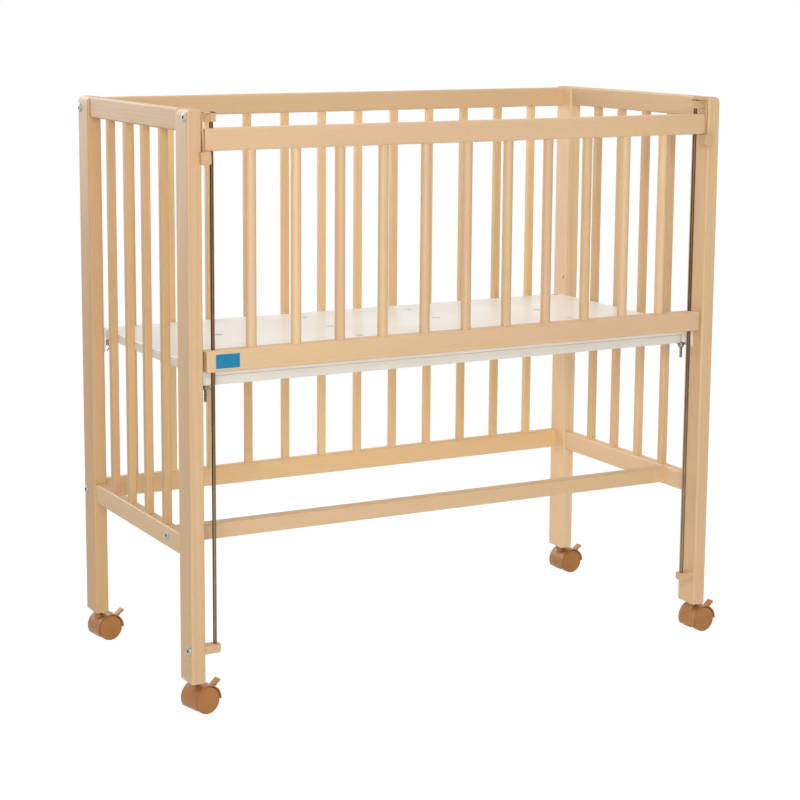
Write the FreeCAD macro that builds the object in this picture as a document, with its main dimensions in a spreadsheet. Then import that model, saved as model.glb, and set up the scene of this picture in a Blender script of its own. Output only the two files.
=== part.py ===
import FreeCAD, Part
import os
import re

import Sketcher
from FreeCAD import Placement, Rotation, Vector

# Bedside sleeper crib: a wooden cot with slatted ends and back, a front gate that slides down on
# two steel rods, a mattress board on four corner supports, and four braked twin-wheel castors.
#
# Millimetres. +X runs along the crib, -Y is the open side with the gate, +Z is up. The origin is
# the middle of the mattress board's top face, where the mattress rests. A name that ends in _up
# is a height above the feet of the posts, and level() turns such a height into a Z of the frame.

SIZES = {
    # frame
    "frame_length": 950,
    "frame_depth": 455,
    "post_height": 862,
    "post_wide": 23,
    "post_deep": 45,
    "post_round": 3,
    "post_corner_round": 9,
    "rail_tall": 33,
    "rail_thick": 17,
    "rail_round": 3,
    "end_rail_recess": 3,
    "end_bottom_rail_up": 190,
    "back_rail_recess": 1,
    "back_top_rail_drop": 2.5,
    "back_bottom_rail_up": 189.5,
    "slat_wide": 12.5,
    "slat_round": 2,
    "slat_seat": 8,
    "back_slat_count": 12,
    "back_slat_pitch": 70.86,
    "end_slat_count": 4,
    "end_slat_pitch": 73,
    "end_slat_inset": 11,
    "stretcher_deep": 20,
    "stretcher_tall": 25,
    "stretcher_back": 89,
    "stretcher_lift": 2.4,
    "stretcher_round": 2.5,
    # mattress board
    "board_up": 466,
    "board_thick": 15,
    "board_end": 25,
    "board_front": 23.5,
    "board_round": 1.5,
    "board_slack": 0.4,
    "vent_radius": 7.5,
    "vent_columns": 4,
    "vent_column_pitch": 203,
    "vent_rows": 4,
    "vent_row_pitch": 103,
    "strip_tall": 14.5,
    "strip_deep": 15,
    "strip_gap": 4.5,
    "support_long": 22,
    "support_deep": 20,
    "support_tall": 14,
    "support_wall": 2.5,
    "support_leg": 3,
    "support_leg_drop": 8.3,
    "support_round": 4,
    "level_hole_up": 447.5,
    "level_pitch": 65,
    "level_hole_radius": 2.5,
    "level_hole_deep": 12,
    "screw_head_radius": 3.6,
    "screw_head_tall": 2.5,
    "clamp_radius": 2.5,
    "clamp_head_radius": 5.5,
    "clamp_sink": 0.2,
    "clamp_from_post": 17,
    "clamp_long": 56,
    "wing_hub_radius": 5,
    "wing_hub_tall": 7,
    "wing_span": 18,
    "wing_thick": 2.5,
    "wing_tall": 9.5,
    # fasteners of the frame
    "bolt_radius": 3,
    "bolt_head_radius": 7,
    "bolt_head_tall": 2.5,
    "bolt_rim_tall": 0.8,
    "bolt_socket": 4,
    "bolt_socket_deep": 1.8,
    "rail_bolt_grip": 46,
    "barrel_radius": 5,
    "barrel_long": 14,
    "barrel_from_end": 36,
    "dowel_radius": 4,
    "dowel_long": 30,
    "dowel_spacing": 16,
    "dowel_drop": 10,
    # sliding gate
    "gate_thick": 20,
    "gate_side_gap": 5.6,
    "gate_bottom_up": 474.5,
    "gate_tall": 360,
    "gate_round": 3,
    "spindle_radius": 8,
    "spindle_seat": 10,
    "spindle_count": 11,
    "spindle_pitch": 74,
    "rod_radius": 3,
    "rod_slide_fit": 0.06,
    "rod_from_post": 19.5,
    "rod_seat": 8,
    "label_long": 40,
    "label_tall": 22.5,
    "label_thick": 0.8,
    "label_from_end": 13.5,
    "label_round": 2,
    # rod brackets and gate catches
    "bracket_long": 26,
    "bracket_deep": 16,
    "bracket_round": 4,
    "top_bracket_up": 844,
    "top_bracket_tall": 14,
    "bottom_bracket_up": 44,
    "bottom_bracket_tall": 13,
    "bracket_foot": 2.9,
    "bracket_slot": 3.9,
    "bracket_bolt_reach": 14,
    "catch_pivot_up": 855.3,
    "catch_pivot_out": 1.7,
    "catch_thick": 2.4,
    "catch_wide": 12.2,
    "catch_lean": 2.5,
    "catch_rest_gap": 0.3,
    "catch_bolt_slack": 0.3,
    "catch_tab_tall": 19,
    "catch_tab_long": 16,
    "catch_tab_deep": 9,
    "catch_tab_outward": 9.1,
    "catch_tab_round": 4,
    "catch_tab_gap": 0.5,
    "catch_shelf_long": 3.6,
    # castors
    "castor_height": 52,
    "castor_trail": 14.5,
    "wheel_radius": 21,
    "wheel_wide": 13,
    "wheel_round": 1.5,
    "wheel_web_gap": 0.3,
    "wheel_skin": 2,
    "axle_radius": 3,
    "axle_fit": 0.05,
    "web_thick": 12.4,
    "web_clear": 12,
    "hood_gap": 1.3,
    "hood_wall": 1.9,
    "hood_start": -2,
    "hood_sweep": 212,
    "boss_top": 46,
    "stem_radius": 4,
    "stem_fit": 0.05,
    "stem_socket": 20,
    "stem_seat": 36,
    "flange_radius": 9,
    "flange_tall": 1.8,
    "pedal_pivot_reach": 19,
    "pedal_angle": 38,
    "pedal_travel": 22,
    "pedal_hub_radius": 4,
    "pedal_hub_wide": 8,
    "pedal_hub_gap": 0.5,
    "pedal_thick": 3.4,
    "pedal_neck": 7,
    "pedal_long": 14,
    "pedal_wide": 13,
    "pedal_round": 1.2,
    "pedal_pin_radius": 1.5,
    "pedal_pin_reach": 1.7,
    "pedal_pin_fit": 0.05,
}

# How far each castor is swung about its stem, in degrees, as it stands in the photograph.
CASTOR_TURNS = {
    ("front", "left"): 12,
    ("front", "right"): 5,
    ("back", "left"): 7,
    ("back", "right"): 4,
}

SIDES = {"left": -1, "right": 1}
ROWS = {"front": -1, "back": 1}

doc = FreeCAD.newDocument("BedsideCrib")
sheet = doc.addObject("Spreadsheet::Sheet", "Sizes")
for line, (alias, size) in enumerate(SIZES.items(), start=1):
    sheet.set("A%d" % line, alias)
    sheet.set("B%d" % line, str(size))
    sheet.setAlias("B%d" % line, alias)
doc.recompute()


# ---------------------------------------------------------------- helpers

def bind(thing, target, formula):
    """Bind one property to a formula written with the names of the sheet."""
    linked = re.sub(r"[a-z][a-z_]*[a-z]", lambda word: name_in_sheet(word.group()), str(formula))
    thing.setExpression(target, linked)


def name_in_sheet(word):
    return "Sizes." + word if word in SIZES else word


def place(thing, x="0", y="0", z="0", axis=None, angle=None):
    """Put a piece at formulas of the sheet, turned about one axis."""
    if axis is not None:
        thing.Placement = Placement(Vector(), Rotation(axis, 1))
        bind(thing, ".Placement.Rotation.Angle", angle)
    for letter, formula in zip("xyz", (x, y, z)):
        bind(thing, ".Placement.Base." + letter, formula)
    return thing


def level(up):
    """Z of the frame for a height above the feet of the posts."""
    return "(%s) - board_up - board_thick" % up


AXIS_TURNS = {
    "X": Rotation(Vector(0, 1, 0), 90),
    "Y": Rotation(Vector(1, 0, 0), -90),
    "Z": Rotation(),
}


def cylinder(name, radius, long, axis="Z", x="0", y="0", z="0"):
    """A round bar whose middle is at x, y, z."""
    bar_ = doc.addObject("Part::Cylinder", name)
    bind(bar_, "Radius", radius)
    bind(bar_, "Height", long)
    start = {"X": x, "Y": y, "Z": z}
    start[axis] = "(%s) - (%s)/2" % (start[axis], long)
    bar_.Placement = Placement(Vector(), AXIS_TURNS[axis])
    for letter in "XYZ":
        bind(bar_, ".Placement.Base." + letter.lower(), start[letter])
    return bar_


def box(name, long, deep, tall, x="0", y="0", z="0"):
    """A plain block whose middle is at x, y, z."""
    block = doc.addObject("Part::Box", name)
    bind(block, "Length", long)
    bind(block, "Width", deep)
    bind(block, "Height", tall)
    return place(block, "(%s) - (%s)/2" % (x, long), "(%s) - (%s)/2" % (y, deep),
                 "(%s) - (%s)/2" % (z, tall))


def fuse(name, shapes):
    joined = doc.addObject("Part::MultiFuse", name)
    joined.Shapes = shapes
    return joined


def gather(name, shapes):
    """Several separate solids as one piece of the list."""
    group = doc.addObject("Part::Compound", name)
    group.Links = shapes
    return group


def cut(name, base, tools):
    """The base with every tool taken out of it."""
    result = doc.addObject("Part::Cut", name)
    result.Base = base
    result.Tool = gather(name + "_holes", tools)
    return result


def copy(name, source, x="0", y="0", z="0", axis=None, angle=None):
    twin = doc.addObject("App::Link", name)
    twin.LinkedObject = source
    return place(twin, x, y, z, axis, angle)


def origin_plane(body, role):
    return next(plane for plane in body.Origin.OriginFeatures if plane.Role == role)


def bar(name, long, deep, tall, along="X", rounds=()):
    """A block centred on its own origin, drawn across `along` and padded both ways.

    rounds holds (radius, test) pairs, where test picks the edges to round by their middle point
    and direction, both in the block's own frame.
    """
    planes = {"X": ("YZ_Plane", deep, tall, long), "Y": ("XZ_Plane", long, tall, deep),
              "Z": ("XY_Plane", long, deep, tall)}
    plane, wide, high, pad_length = planes[along]
    body = doc.addObject("PartDesign::Body", name)
    sketch = body.newObject("Sketcher::SketchObject", name + "_section")
    sketch.AttachmentSupport = (origin_plane(body, plane), [""])
    sketch.MapMode = "FlatFace"
    corners = [Vector(-5, -5, 0), Vector(5, -5, 0), Vector(5, 5, 0), Vector(-5, 5, 0)]
    for side in range(4):
        sketch.addGeometry(Part.LineSegment(corners[side], corners[(side + 1) % 4]), False)
    for side in range(4):
        sketch.addConstraint(Sketcher.Constraint("Coincident", side, 2, (side + 1) % 4, 1))
        sketch.addConstraint(Sketcher.Constraint(("Horizontal", "Vertical")[side % 2], side))
    sketch.addConstraint(Sketcher.Constraint("Symmetric", 0, 1, 1, 2, -1, 1))
    width = sketch.addConstraint(Sketcher.Constraint("DistanceX", 0, 1, 0, 2, 10))
    bind(sketch, "Constraints[%d]" % width, wide)
    height = sketch.addConstraint(Sketcher.Constraint("DistanceY", 1, 1, 1, 2, 10))
    bind(sketch, "Constraints[%d]" % height, high)
    pad = body.newObject("PartDesign::Pad", name + "_pad")
    pad.Profile = sketch
    pad.SideType = "Symmetric"
    bind(pad, "Length", pad_length)
    doc.recompute()
    last = pad
    for number, (radius, test) in enumerate(rounds):
        box_ = last.Shape.BoundBox
        picked = ["Edge%d" % index for index, edge in enumerate(last.Shape.Edges, start=1)
                  if test(*edge_facts(edge, box_))]
        fillet = body.newObject("PartDesign::Fillet", "%s_round_%d" % (name, number))
        fillet.Base = (last, picked)
        bind(fillet, "Radius", radius)
        doc.recompute()
        last = fillet
    body.Tip = last
    return body


def edge_facts(edge, bounds):
    """Where an edge's middle lies between the block's sides, each from -1 to 1, and its way."""
    middle = edge.valueAt((edge.FirstParameter + edge.LastParameter) / 2)
    centre = bounds.Center
    share = Vector(2 * (middle.x - centre.x) / bounds.XLength,
                   2 * (middle.y - centre.y) / bounds.YLength,
                   2 * (middle.z - centre.z) / bounds.ZLength)
    reach = edge.BoundBox
    spans = {"X": reach.XLength, "Y": reach.YLength, "Z": reach.ZLength}
    return share, max(spans, key=spans.get)


def runs(letter):
    """Edges along one axis."""
    return lambda share, way: way == letter


def pattern(body, name, way, count, pitch):
    """Repeat the whole of a body in a row, centred on the body's own origin."""
    row = body.newObject("PartDesign::LinearPattern", name)
    row.TransformMode = "Whole shape"
    row.Direction = (origin_axis(body, way), [""])
    row.Mode = "Spacing"
    bind(row, "Offset", pitch)
    bind(row, "Occurrences", count)
    body.Tip = row
    return row


def origin_axis(body, way):
    return next(axis for axis in body.Origin.OriginFeatures if axis.Role == way + "_Axis")


NODES = []


def finish(node, piece, x="0", y="0", z="0", axis=None, angle=None):
    """Name a finished piece and stand it where it belongs in the crib."""
    piece.Label = node
    place(piece, x, y, z, axis, angle)
    NODES.append(piece)
    return piece


# ---------------------------------------------------------------- shared places

INNER_X = "(frame_length/2 - post_wide)"
END_RAIL_X = "(frame_length/2 - end_rail_recess - rail_thick/2)"
END_RAIL_INNER_X = "(frame_length/2 - end_rail_recess - rail_thick)"
POST_X = "(frame_length/2 - post_wide/2)"
POST_Y = "(frame_depth/2 - post_deep/2)"
FRONT_Y = "(-frame_depth/2)"
BACK_RAIL_Y = "(frame_depth/2 - back_rail_recess - rail_thick/2)"
GATE_Y = "(-frame_depth/2 + gate_thick/2)"
STRETCHER_Y = "(-frame_depth/2 + stretcher_back + stretcher_deep/2)"
END_TOP_UP = "(post_height - rail_tall/2)"
END_BOTTOM_UP = "(end_bottom_rail_up + rail_tall/2)"
STRETCHER_UP = "(end_bottom_rail_up + rail_tall/2 + stretcher_lift)"
BACK_TOP_UP = "(post_height - back_top_rail_drop - rail_tall/2)"
BACK_BOTTOM_UP = "(back_bottom_rail_up + rail_tall/2)"
GATE_TOP_RAIL_UP = "(gate_bottom_up + gate_tall - rail_tall/2)"
GATE_BOTTOM_RAIL_UP = "(gate_bottom_up + rail_tall/2)"
TOP_BRACKET_MID_UP = "(top_bracket_up + top_bracket_tall/2)"
BOTTOM_BRACKET_MID_UP = "(bottom_bracket_up + bottom_bracket_tall/2)"
SUPPORT_Y = "(frame_depth/2 - board_front - support_deep/2)"
CLAMP_X = "(frame_length/2 - post_wide - clamp_from_post)"
FLOOR_UP = "(-castor_height)"
ROD_X = "(frame_length/2 - post_wide - rod_from_post)"
BRACKET_BOLT_UPS = (TOP_BRACKET_MID_UP, BOTTOM_BRACKET_MID_UP)
BACK_RAIL_UPS = (BACK_TOP_UP, BACK_BOTTOM_UP)
END_RAIL_UPS = (END_TOP_UP, END_BOTTOM_UP)


# ---------------------------------------------------------------- posts

def make_post(row, side):
    """One corner post, in its own frame with the middle of the post at the origin."""
    out = SIDES[side]
    back = ROWS[row]
    name = "%s_%s_post" % (row, side)
    blank = bar(name + "_blank", "post_wide", "post_deep", "post_height", "Z", (
        ("post_corner_round", lambda share, way: way == "Y" and share.z > 0.9 and share.x * out > 0),
        ("post_round", lambda share, way: abs(share.y) > 0.99 and share.z > -0.99),
    ))

    def in_post(up):
        return "(%s) - post_height/2" % up

    holes = [cylinder(name + "_stem_hole", "stem_radius", "stem_seat", "Z",
                      z=in_post("stem_seat/2"))]
    for k in (-1, 0, 1):
        holes.append(cylinder("%s_level_hole_%d" % (name, k + 1), "level_hole_radius",
                              "level_hole_deep", "X", "%d*(post_wide - level_hole_deep)/2" % -out,
                              "%d*(%s - %s)" % (back, SUPPORT_Y, POST_Y),
                              in_post("level_hole_up + %d*level_pitch" % k)))
    for k, up in enumerate(END_RAIL_UPS):
        for step in (-1, 1):
            holes.append(cylinder("%s_dowel_hole_%d_%d" % (name, k, step + 1), "dowel_radius",
                                  "dowel_long/2", "Y", "%d*(%s - %s)" % (out, END_RAIL_X, POST_X),
                                  "%d*(post_deep/2 - dowel_long/4)" % -back,
                                  in_post("%s + %d*dowel_spacing/2" % (up, step))))
    if row == "front":
        for k, up in enumerate(BRACKET_BOLT_UPS):
            holes.append(cylinder("%s_bolt_hole_%d" % (name, k), "bolt_radius", "post_wide + 2",
                                  "X", y="(gate_thick - post_deep)/2", z=in_post(up)))
    else:
        for k, up in enumerate(BACK_RAIL_UPS):
            rail_y = "%s - %s" % (BACK_RAIL_Y, POST_Y)
            holes.append(cylinder("%s_bolt_hole_%d" % (name, k), "bolt_radius", "post_wide + 2",
                                  "X", y=rail_y, z=in_post(up)))
            holes.append(cylinder("%s_back_dowel_hole_%d" % (name, k), "dowel_radius",
                                  "dowel_long/2", "X", "%d*(post_wide/2 - dowel_long/4)" % -out,
                                  rail_y, in_post("%s - dowel_drop" % up)))
    finish(name, cut(name, blank, holes), "%d*%s" % (out, POST_X), "%d*%s" % (back, POST_Y),
           level("post_height/2"))


for row in ROWS:
    for side in SIDES:
        make_post(row, side)


# ---------------------------------------------------------------- end frames

END_RAIL_LONG = "(frame_depth - 2*post_deep)"


def make_end_rail(side, which, up, slat_face):
    """A rail between the two posts of one end; slat_face is -1 if its slats enter from below."""
    out = SIDES[side]
    name = "%s_end_%s_rail" % (side, which)
    blank = bar(name + "_blank", "rail_thick", END_RAIL_LONG, "rail_tall", "Y",
                (("rail_round", runs("Y")),))
    holes = []
    for end in (-1, 1):
        for step in (-1, 1):
            holes.append(cylinder("%s_dowel_hole_%d_%d" % (name, end + 1, step + 1),
                                  "dowel_radius", "dowel_long/2", "Y", "0",
                                  "%d*(%s/2 - dowel_long/4)" % (end, END_RAIL_LONG),
                                  "%d*dowel_spacing/2" % step))
    holes.append(slat_row(name + "_mortises", "end_slat_count", "end_slat_pitch", "Y", "slat_seat",
                          "%d*(%s)" % (out, "frame_length/2 - end_slat_inset - " + END_RAIL_X),
                          "0", "%d*(rail_tall/2 - slat_seat/2)" % slat_face))
    if which == "bottom":
        holes.append(cylinder(name + "_bolt_hole", "bolt_radius", "rail_thick + 2", "X",
                              y=STRETCHER_Y, z="stretcher_lift"))
    finish(name, cut(name, blank, holes), "%d*%s" % (out, END_RAIL_X), "0", level(up))


def slat_row(name, count, pitch, way, tall, x="0", y="0", z="0"):
    """A row of square bars with eased edges, its middle at x, y, z."""
    row = bar(name, "slat_wide", "slat_wide", tall, "Z", (("slat_round", runs("Z")),))
    pattern(row, name + "_row", way, count, pitch)
    back_off = "(%s - 1)*(%s)/2" % (count, pitch)
    if way == "X":
        return place(row, "%s - %s" % (x, back_off), y, z)
    return place(row, x, "%s - %s" % (y, back_off), z)


for side, out in SIDES.items():
    make_end_rail(side, "top", END_TOP_UP, -1)
    make_end_rail(side, "bottom", END_BOTTOM_UP, 1)
    slats = slat_row("%s_end_slats_row" % side, "end_slat_count", "end_slat_pitch", "Y",
                     "%s - %s - rail_tall + 2*slat_seat" % (END_TOP_UP, END_BOTTOM_UP))
    finish("%s_end_slats" % side, slats, "%d*(frame_length/2 - end_slat_inset)" % out,
           "-(end_slat_count - 1)*end_slat_pitch/2",
           level("(%s + %s)/2" % (END_TOP_UP, END_BOTTOM_UP)))


# ---------------------------------------------------------------- back frame

BACK_RAIL_LONG = "(frame_length - 2*post_wide)"


def make_back_rail(which, up, slat_face):
    """A rail between the back posts, bolted at both ends into barrel nuts."""
    name = "back_%s_rail" % which
    blank = bar(name + "_blank", BACK_RAIL_LONG, "rail_thick", "rail_tall", "X",
                (("rail_round", runs("X")),))
    holes = [slat_row(name + "_mortises", "back_slat_count", "back_slat_pitch", "X", "slat_seat",
                      z="%d*(rail_tall/2 - slat_seat/2)" % slat_face)]
    for end in (-1, 1):
        holes.append(cylinder("%s_bolt_hole_%d" % (name, end + 1), "bolt_radius",
                              "rail_bolt_grip", "X",
                              "%d*(%s/2 - rail_bolt_grip/2)" % (end, BACK_RAIL_LONG)))
        holes.append(cylinder("%s_dowel_hole_%d" % (name, end + 1), "dowel_radius",
                              "dowel_long/2", "X",
                              "%d*(%s/2 - dowel_long/4)" % (end, BACK_RAIL_LONG),
                              z="-dowel_drop"))
        holes.append(cylinder("%s_nut_hole_%d" % (name, end + 1), "barrel_radius",
                              "rail_tall/2 + barrel_long/2", "Z",
                              "%d*(%s/2 - barrel_from_end)" % (end, BACK_RAIL_LONG),
                              z="(barrel_long - rail_tall)/4"))
    finish(name, cut(name, blank, holes), "0", BACK_RAIL_Y, level(up))


make_back_rail("top", BACK_TOP_UP, -1)
make_back_rail("bottom", BACK_BOTTOM_UP, 1)
back_slats = slat_row("back_slats_row", "back_slat_count", "back_slat_pitch", "X",
                      "%s - %s - rail_tall + 2*slat_seat" % (BACK_TOP_UP, BACK_BOTTOM_UP))
finish("back_slats", back_slats, "-(back_slat_count - 1)*back_slat_pitch/2", BACK_RAIL_Y,
       level("(%s + %s)/2" % (BACK_TOP_UP, BACK_BOTTOM_UP)))


# ---------------------------------------------------------------- lower stretcher

STRETCHER_LONG = "(2*%s)" % END_RAIL_INNER_X


def make_stretcher():
    """The low bar that ties the two end frames together near the gate side."""
    name = "lower_stretcher"
    blank = bar(name + "_blank", STRETCHER_LONG, "stretcher_deep", "stretcher_tall", "X",
                (("stretcher_round", runs("X")),))
    holes = []
    for end in (-1, 1):
        holes.append(cylinder("%s_bolt_hole_%d" % (name, end + 1), "bolt_radius",
                              "rail_bolt_grip", "X",
                              "%d*(%s/2 - rail_bolt_grip/2)" % (end, STRETCHER_LONG)))
        holes.append(cylinder("%s_nut_hole_%d" % (name, end + 1), "barrel_radius",
                              "stretcher_tall/2 + barrel_long/2", "Z",
                              "%d*(%s/2 - barrel_from_end)" % (end, STRETCHER_LONG),
                              z="(barrel_long - stretcher_tall)/4"))
    finish(name, cut(name, blank, holes), "0", STRETCHER_Y, level(STRETCHER_UP))


make_stretcher()


# ---------------------------------------------------------------- frame fasteners

def make_bolt(name, shank):
    """A domed bolt with a hexagon socket, its head's seat at the origin and its shank along +X."""
    dome = doc.addObject("Part::Sphere", name + "_dome")
    rise = "(bolt_head_tall - bolt_rim_tall)"
    sphere_radius = "((bolt_head_radius*bolt_head_radius + %s*%s)/(2*%s))" % (rise, rise, rise)
    bind(dome, "Radius", sphere_radius)
    place(dome, "%s - bolt_head_tall" % sphere_radius, axis=Vector(0, 1, 0), angle="90")
    head_blank = cylinder(name + "_head_blank", "bolt_head_radius", "bolt_head_tall", "X",
                          "-bolt_head_tall/2")
    head = doc.addObject("Part::Common", name + "_head")
    head.Base = dome
    head.Tool = head_blank
    solid = fuse(name + "_solid", [
        head, cylinder(name + "_shank", "bolt_radius", "%s + bolt_rim_tall/2" % shank, "X",
                       "(%s)/2 - bolt_rim_tall/4" % shank)])
    socket = doc.addObject("Part::Prism", name + "_socket")
    socket.Polygon = 6
    bind(socket, "Circumradius", "bolt_socket/sqrt(3)")
    bind(socket, "Height", "bolt_socket_deep")
    socket.Placement = Placement(Vector(), AXIS_TURNS["X"])
    bind(socket, ".Placement.Base.x", "-bolt_head_tall")
    return cut(name, solid, [socket])


def bolt_at(name, source, side, seat_x, y, z):
    """A bolt driven inward from one side of the crib."""
    if side == "left":
        return copy(name, source, "-(%s)" % seat_x, y, z)
    return copy(name, source, seat_x, y, z, Vector(0, 0, 1), "180")


post_bolt = make_bolt("post_bolt", "post_wide + rail_bolt_grip")
stretcher_bolt = make_bolt("stretcher_bolt", "rail_thick + rail_bolt_grip")
bracket_bolt = make_bolt("bracket_bolt", "post_wide + bracket_bolt_reach")

frame_bolts = []
bracket_bolts = []
barrel_nuts = []
for side, out in SIDES.items():
    for k, up in enumerate(BACK_RAIL_UPS):
        frame_bolts.append(bolt_at("frame_bolt_%s_%d" % (side, k), post_bolt, side,
                                   "frame_length/2", BACK_RAIL_Y, level(up)))
    frame_bolts.append(bolt_at("frame_bolt_%s_low" % side, stretcher_bolt, side,
                               "frame_length/2 - end_rail_recess", STRETCHER_Y,
                               level(STRETCHER_UP)))
    for k, up in enumerate(BRACKET_BOLT_UPS):
        bracket_bolts.append(bolt_at("bracket_bolt_%s_%d" % (side, k), bracket_bolt, side,
                                     "frame_length/2", GATE_Y, level(up)))
finish("frame_bolts", gather("frame_bolts_group", frame_bolts))
finish("bracket_bolts", gather("bracket_bolts_group", bracket_bolts))

barrel_nut = cut("barrel_nut", cylinder("barrel_nut_body", "barrel_radius", "barrel_long"),
                 [cylinder("barrel_nut_thread", "bolt_radius", "3*barrel_radius", "X")])
for side, out in SIDES.items():
    for k, up in enumerate(BACK_RAIL_UPS):
        barrel_nuts.append(copy("barrel_nut_%s_%d" % (side, k), barrel_nut,
                                "%d*(%s/2 - barrel_from_end)" % (out, BACK_RAIL_LONG),
                                BACK_RAIL_Y, level(up)))
    barrel_nuts.append(copy("barrel_nut_%s_low" % side, barrel_nut,
                            "%d*(%s/2 - barrel_from_end)" % (out, STRETCHER_LONG), STRETCHER_Y,
                            level(STRETCHER_UP)))
finish("barrel_nuts", gather("barrel_nuts_group", barrel_nuts))

dowel = cylinder("dowel", "dowel_radius", "dowel_long")
dowels = []
for side, out in SIDES.items():
    for row, back in ROWS.items():
        for k, up in enumerate(END_RAIL_UPS):
            for step in (-1, 1):
                dowels.append(copy("dowel_%s_%s_%d_%d" % (side, row, k, step + 1), dowel,
                                   "%d*%s" % (out, END_RAIL_X),
                                   "%d*(%s/2) + dowel_long/2" % (back, END_RAIL_LONG),
                                   level("%s + %d*dowel_spacing/2" % (up, step)),
                                   Vector(1, 0, 0), "90"))
    for k, up in enumerate(BACK_RAIL_UPS):
        dowels.append(copy("dowel_%s_back_%d" % (side, k), dowel,
                           "%d*%s - dowel_long/2" % (out, INNER_X), BACK_RAIL_Y,
                           level("%s - dowel_drop" % up), Vector(0, 1, 0), "90"))
finish("dowels", gather("dowels_group", dowels))


# ---------------------------------------------------------------- sliding gate

GATE_LONG = "(frame_length - 2*post_wide - 2*gate_side_gap)"


def round_bar(name, radius, long, along="Z", rounds=()):
    """A round bar centred on its own origin, with its end edges eased."""
    planes = {"X": "YZ_Plane", "Y": "XZ_Plane", "Z": "XY_Plane"}
    body = doc.addObject("PartDesign::Body", name)
    sketch = body.newObject("Sketcher::SketchObject", name + "_section")
    sketch.AttachmentSupport = (origin_plane(body, planes[along]), [""])
    sketch.MapMode = "FlatFace"
    sketch.addGeometry(Part.Circle(Vector(), Vector(0, 0, 1), 5), False)
    sketch.addConstraint(Sketcher.Constraint("Coincident", 0, 3, -1, 1))
    rim = sketch.addConstraint(Sketcher.Constraint("Radius", 0, 5))
    bind(sketch, "Constraints[%d]" % rim, radius)
    pad = body.newObject("PartDesign::Pad", name + "_pad")
    pad.Profile = sketch
    pad.SideType = "Symmetric"
    bind(pad, "Length", long)
    body.Tip = pad
    doc.recompute()
    for ease in rounds:
        rims = ["Edge%d" % index for index, edge in enumerate(pad.Shape.Edges, start=1)
                if isinstance(edge.Curve, Part.Circle)]
        fillet = body.newObject("PartDesign::Fillet", name + "_ease")
        fillet.Base = (pad, rims)
        bind(fillet, "Radius", ease)
        body.Tip = fillet
    return body


def spindle_row(name, tall, x="0", y="0", z="0"):
    """The gate's round spindles, or the holes that they stand in."""
    row = round_bar(name, "spindle_radius", tall)
    pattern(row, name + "_row", "X", "spindle_count", "spindle_pitch")
    return place(row, "%s - (spindle_count - 1)*spindle_pitch/2" % x, y, z)


def make_gate_rail(which, up, spindle_face):
    """A gate rail; spindle_face is -1 if the spindles enter from below."""
    name = "gate_%s_rail" % which
    blank = bar(name + "_blank", GATE_LONG, "gate_thick", "rail_tall", "X",
                (("gate_round", lambda share, way: True),))
    holes = [spindle_row(name + "_spindle_holes", "spindle_seat",
                         z="%d*(rail_tall/2 - spindle_seat/2)" % spindle_face)]
    for side, out in SIDES.items():
        holes.append(cylinder("%s_%s_rod_hole" % (name, side), "rod_radius + rod_slide_fit",
                              "rail_tall + 2", "Z", "%d*%s" % (out, ROD_X)))
    finish(name, cut(name, blank, holes), "0", GATE_Y, level(up))


make_gate_rail("top", GATE_TOP_RAIL_UP, -1)
make_gate_rail("bottom", GATE_BOTTOM_RAIL_UP, 1)
SPINDLE_LONG = "gate_tall - 2*rail_tall + 2*spindle_seat"
finish("gate_spindles", spindle_row("gate_spindles_row", SPINDLE_LONG),
       "-(spindle_count - 1)*spindle_pitch/2", GATE_Y, level("gate_bottom_up + gate_tall/2"))
label_plate = bar("label_plate", "label_long", "label_thick", "label_tall", "Y",
                  (("label_round", runs("Y")),))
finish("gate_label_plate", label_plate, "-%s/2 + label_from_end + label_long/2" % GATE_LONG,
       "%s - label_thick/2" % FRONT_Y, level(GATE_BOTTOM_RAIL_UP))


# ---------------------------------------------------------------- rods, brackets and catches

def make_rod_bracket(name, side, tall, mid_up, seat_face, slotted):
    """A rod bracket bolted to a front post; seat_face is -1 if the rod enters from below."""
    inward = -SIDES[side]
    blank = bar(name + "_blank", "bracket_long", "bracket_deep", tall, "X", (
        ("bracket_round", lambda share, way: way == "Y" and share.x * inward > 0
         and share.z * seat_face < 0),
        ("bracket_round/4", lambda share, way: way == "Z" and share.x * inward > 0.5),
    ))
    place(blank, "%d*bracket_long/2" % inward)
    holes = [
        cylinder(name + "_rod_seat", "rod_radius", "rod_seat", "Z", "%d*rod_from_post" % inward,
                 z="%d*((%s)/2 - rod_seat/2)" % (seat_face, tall)),
        cylinder(name + "_bolt_hole", "bolt_radius", "bracket_bolt_reach", "X",
                 "%d*bracket_bolt_reach/2" % inward),
    ]
    if slotted:
        holes.append(box(name + "_catch_slot", "bracket_slot", "bracket_deep", "2*(%s)" % tall,
                         "%d*bracket_slot/2" % inward, "-bracket_foot"))
    finish(name, cut(name, blank, holes), "%d*%s" % (-inward, INNER_X), GATE_Y, level(mid_up))


RAIL_REST_UP = "(gate_bottom_up + gate_tall - rail_tall)"
CATCH_DROP = ("((catch_pivot_up - %s + catch_rest_gap + catch_shelf_long*sin(catch_lean))"
              "/cos(catch_lean))" % RAIL_REST_UP)
CATCH_Y = "(bracket_deep/2 - bracket_foot - catch_rest_gap - catch_wide/2)"
TAB_BACK_Y = "(-gate_thick/2 - catch_tab_gap)"


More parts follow.
